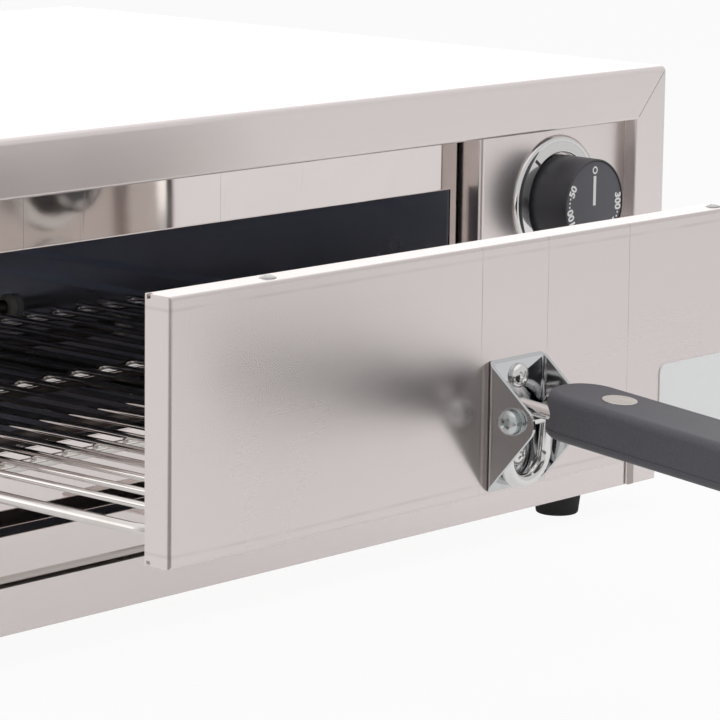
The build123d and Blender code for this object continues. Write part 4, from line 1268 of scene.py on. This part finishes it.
@dataclass
class Dial(SubAssembly):
    """A knob with its printed scale."""

    marks: tuple[str, ...] = ()
    first_turn: float = 65.0
    turn_step: float = 41.2
    dots: tuple[float, ...] = (12.0, 18.0, 24.0)
    face_sink: float = 0.3 * MM
    depth: float = 19.5 * MM
    wall: float = 1.8 * MM
    rim_width: float = 0.9 * MM
    hollow: float = 6.0 * MM
    hub_radius: float = 3.0 * MM
    off_radius: float = 14.2 * MM
    off_ring: tuple[float, float] = (1.65 * MM, 0.95 * MM)
    line_gap: float = 2.4 * MM
    line_width: float = 1.7 * MM
    mark_radius: float = 15.2 * MM
    mark_height: float = 3.6 * MM
    size_per_height: float = 1.35
    mark_boldness: float = 0.2 * MM
    dot_radius: float = 15.9 * MM
    dot_size: float = 0.8 * MM
    print_rise: float = 0.06 * MM
    middle: Vector = field(default_factory=Vector)
    radius: float = 0.0
    reach: float = 0.0

    def build(self) -> None:
        """Builds the knob of the body's own name and its print."""
        low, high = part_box(self.body)
        self.middle = Vector(((low.x + high.x) / 2, low.y, (low.z + high.z) / 2))
        self.radius, self.reach = (high.x - low.x) / 2, high.y - low.y
        self.knob()
        self.scale()

    def knob(self) -> None:
        """The turned knob: a hollow barrel with a narrow rim round its sunk face, and its shaft."""
        back, radius, wall, sink = -self.depth, self.radius, self.wall, self.face_sink
        rim, hollow = radius - self.rim_width, back + self.hollow
        outline = [(0.0, -2 * sink), (rim, -2 * sink), (rim, 0.0), (radius - self.rim_width / 2, 0.0),
                   (radius - 0.1 * MM, -0.5 * MM), (radius, back), (radius - wall, back),
                   (radius - 1.3 * wall, hollow), (self.hub_radius + wall, hollow), (self.hub_radius, back),
                   (self.hub_radius, -self.reach), (0.0, -self.reach)]
        piece = turned(f"{self.body}_finished", outline, self.middle, Side.FRONT,
                       steps=96, edge=0.2 * MM, segments=3)
        self.place(piece, Finish.KNOB, self.body)
        inner = rim - 0.05 * MM
        outline = [(0.0, -sink), (inner - 0.5 * MM, -sink), (inner, -sink - 0.2 * MM), (inner, -2.2 * sink),
                   (0.0, -2.2 * sink)]
        face = turned(f"{self.body}_face", outline, self.middle, Side.FRONT, steps=72, edge=0.06 * MM)
        self.place(face, Finish.KNOB_FACE)

    def scale(self) -> None:
        """The printed ring, the line and the numbers round the face."""
        shape = bmesh.new()
        self.ring(shape)
        self.stroke(shape, 0.0, -0.3 * MM, self.off_radius - self.line_gap, self.line_width)
        for number, words in enumerate(self.marks):
            turn = self.first_turn + number * self.turn_step
            self.words(shape, words, turn)
            for dot in self.dots if number + 1 < len(self.marks) else ():
                half = self.dot_size / 2
                self.stroke(shape, turn + dot, self.dot_radius - half, self.dot_radius + half, self.dot_size)
        self.place(new_piece(f"{self.body}_scale", shape), Finish.PRINT)

    def set_on_face(self, turn: float) -> Matrix:
        """Where a print drawn flat lies on the face.

        Args:
            turn: its angle to the left of the top, in degrees.

        Returns:
            Its place.
        """
        upright = Matrix.Rotation(math.radians(90), 4, "X")
        spin = Matrix.Rotation(math.radians(-turn), 4, "Y")
        rise = Matrix.Translation(self.middle + Vector((0, self.face_sink, 0)))
        return rise @ spin @ upright

    def ring(self, shape: Shape) -> None:
        """Draws the off mark as a small ring near the top.

        Args:
            shape: the print's geometry.
        """
        outer, inner = self.off_ring
        made = bmesh.ops.create_circle(shape, cap_ends=False, segments=28, radius=outer)["verts"]
        rim = [edge for edge in shape.edges if edge.verts[0] in made]
        grown = bmesh.ops.extrude_edge_only(shape, edges=rim)["geom"]
        inside = [part for part in grown if isinstance(part, bmesh.types.BMVert)]
        bmesh.ops.scale(shape, vec=(inner / outer, inner / outer, 1.0), verts=inside)
        place = self.set_on_face(0.0) @ Matrix.Translation((0, self.off_radius, self.print_rise))
        bmesh.ops.transform(shape, matrix=place, verts=made + inside)

    def stroke(self, shape: Shape, turn: float, start: float, end: float, width: float) -> None:
        """Draws a straight stroke along a radius.

        Args:
            shape: the print's geometry.
            turn: its angle to the left of the top, in degrees.
            start: its near radius.
            end: its far radius.
            width: its width.
        """
        middle = Matrix.Translation((0, (start + end) / 2, self.print_rise / 2))
        add_block(shape, (width, end - start, self.print_rise), self.set_on_face(turn) @ middle)

    def words(self, shape: Shape, text: str, turn: float) -> None:
        """Draws a number with its top outwards.

        Args:
            shape: the print's geometry.
            text: the number.
            turn: its angle to the left of the top, in degrees.
        """
        curve = bpy.data.curves.new("print", "FONT")
        curve.body = text
        curve.size = self.mark_height * self.size_per_height
        curve.align_x = curve.align_y = "CENTER"
        curve.extrude = self.print_rise / 2
        curve.offset = self.mark_boldness
        carrier = bpy.data.objects.new("print", curve)
        mesh = bpy.data.meshes.new_from_object(carrier)
        up = Matrix.Translation((0, self.mark_radius, self.print_rise / 2))
        mesh.transform(self.set_on_face(turn) @ up)
        shape.from_mesh(mesh)
        bpy.data.objects.remove(carrier)
        bpy.data.meshes.remove(mesh)


@dataclass
class Controls(SubAssembly):
    """The fixed pieces round the knobs, and what is behind the panel."""

    thermostat_edge: float = 0.3 * MM
    timer_edge: float = 0.5 * MM
    knob_gap: float = 1.0 * MM
    lip_width: float = 2.8 * MM
    index_turn: float = 41.0
    index_gap: float = 2.0 * MM
    index_size: Triple = (1.3 * MM, 0.1 * MM, 3.0 * MM)
    lens_radius: float = 4.5 * MM
    lens_gap: float = 0.2 * MM
    panel_depth: float = 1.2 * MM
    ring_radius: float = 6.5 * MM
    ring_rise: float = 1.2 * MM

    def build(self) -> None:
        """Builds and dresses the controls."""
        self.bezel("thermostat_bezel")
        self.bezel("timer_bezel")
        self.lamp("power_lamp", Finish.GREEN)
        self.lamp("heat_lamp", Finish.AMBER)
        self.refine(Finish.HOUSING, self.thermostat_edge, "thermostat_body")
        self.refine(Finish.HOUSING, self.timer_edge, "timer_body")

    def bezel(self, node: str) -> None:
        """A bright ring, highest round the knob, with a rolled outer lip and an index mark.

        Args:
            node: the ring's node.
        """
        low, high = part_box(node)
        middle = Vector(((low.x + high.x) / 2, high.y, (low.z + high.z) / 2))
        outer, rise = (high.x - low.x) / 2, high.y - low.y
        knob_low, knob_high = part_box("thermostat_knob")
        inner = (knob_high.x - knob_low.x) / 2 + self.knob_gap
        lip = outer - self.lip_width
        outline = [(inner, 0.0), (inner, 0.9 * rise), (inner + 0.5 * MM, rise), (lip - 0.8 * MM, 0.6 * rise),
                   (lip, 0.53 * rise), (lip + 0.7 * MM, 0.55 * rise), (lip + 1.4 * MM, 0.54 * rise),
                   (outer - 0.7 * MM, 0.4 * rise), (outer - 0.15 * MM, 0.15 * rise), (outer, 0.0)]
        piece = turned(f"{node}_finished", outline, middle, Side.FRONT, steps=96, edge=0.3 * MM, segments=3)
        self.place(piece, Finish.CHROME, node)
        up = Matrix.Translation((0.0, -0.84 * rise, inner + self.index_gap))
        slope = Matrix.Rotation(-math.atan2(0.58 * rise, lip - inner), 4, "X")
        spin = Matrix.Rotation(math.radians(-self.index_turn), 4, "Y")
        shape = bmesh.new()
        add_block(shape, self.index_size, Matrix.Translation(middle) @ spin @ up @ slope)
        self.place(new_piece(f"{node}_index", shape), Finish.KNOB)

    def lamp(self, node: str, finish: Finish) -> None:
        """An indicator lamp: a ribbed lens in a bright ring, and a housing behind.

        Args:
            node: the lamp's node.
            finish: the lens's finish.
        """
        low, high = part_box(node)
        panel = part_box("control_panel")[0].y
        middle = Vector(((low.x + high.x) / 2, panel, (low.z + high.z) / 2))
        top = panel - low.y
        radius, base = self.lens_radius, 0.2 * MM
        outline = [(0.0, base), (radius - 0.1 * MM, base), (radius - 0.1 * MM, top - 1.1 * MM),
                   (radius - 0.9 * MM, top - 0.3 * MM), (radius - 1.6 * MM, top - 0.55 * MM),
                   (radius - 2.3 * MM, top - 0.1 * MM), (radius - 3.1 * MM, top - 0.35 * MM), (0.0, top)]
        lens = turned(f"{node}_lens", outline, middle, Side.FRONT, steps=48, edge=0.15 * MM)
        self.place(lens, finish, node)
        rim, rise = self.ring_radius, self.ring_rise
        outline = [(radius, 0.0), (radius, rise), (rim - 0.6 * MM, rise), (rim, 0.4 * rise), (rim, 0.0)]
        ring = turned(f"{node}_ring", outline, middle, Side.FRONT, steps=48, edge=0.15 * MM)
        self.place(ring, Finish.CHROME)
        depth, start, barrel = high.y - panel, self.panel_depth, radius - self.lens_gap
        outline = [(0.0, -start), (barrel, -start), (barrel, -depth), (0.0, -depth)]
        housing = turned(f"{node}_housing", outline, middle, Side.FRONT, steps=32, edge=0.3 * MM)
        self.place(housing, Finish.HOUSING)


@dataclass
class PowerInlet(SubAssembly):
    """The cord gland, the terminal block and the leads."""

    gland_edge: float = 0.3 * MM
    block_edge: float = 0.4 * MM

    def build(self) -> None:
        """Builds and dresses the inlet."""
        self.refine(Finish.HOUSING, self.gland_edge, "cord_gland", "gland_locknut")
        self.refine(Finish.CERAMIC, self.block_edge, "terminal_block")
        self.refine(Finish.SLEEVE, 0.0, "wiring")


def main() -> None:
    """Builds the oven and its stage."""
    logging.basicConfig(level=logging.INFO, format="%(message)s")
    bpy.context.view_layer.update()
    Studio().build()
    temperatures = ("50", "100", "150", "200", "250", "300")
    minutes = ("5", "10", "15", "20", "25", "30")
    dials = (Dial("thermostat_knob", marks=temperatures), Dial("timer_knob", marks=minutes))
    for part in (Case(), FrontPlates(), Chamber(), Door(), Rack(), Bracket(), Handle(), Tray(), Controls(),
                 *dials, PowerInlet()):
        part.build()
        LOG.info("%s: %d new pieces", type(part).__name__, len(part.pieces))


if __name__ == "__main__":
    main()
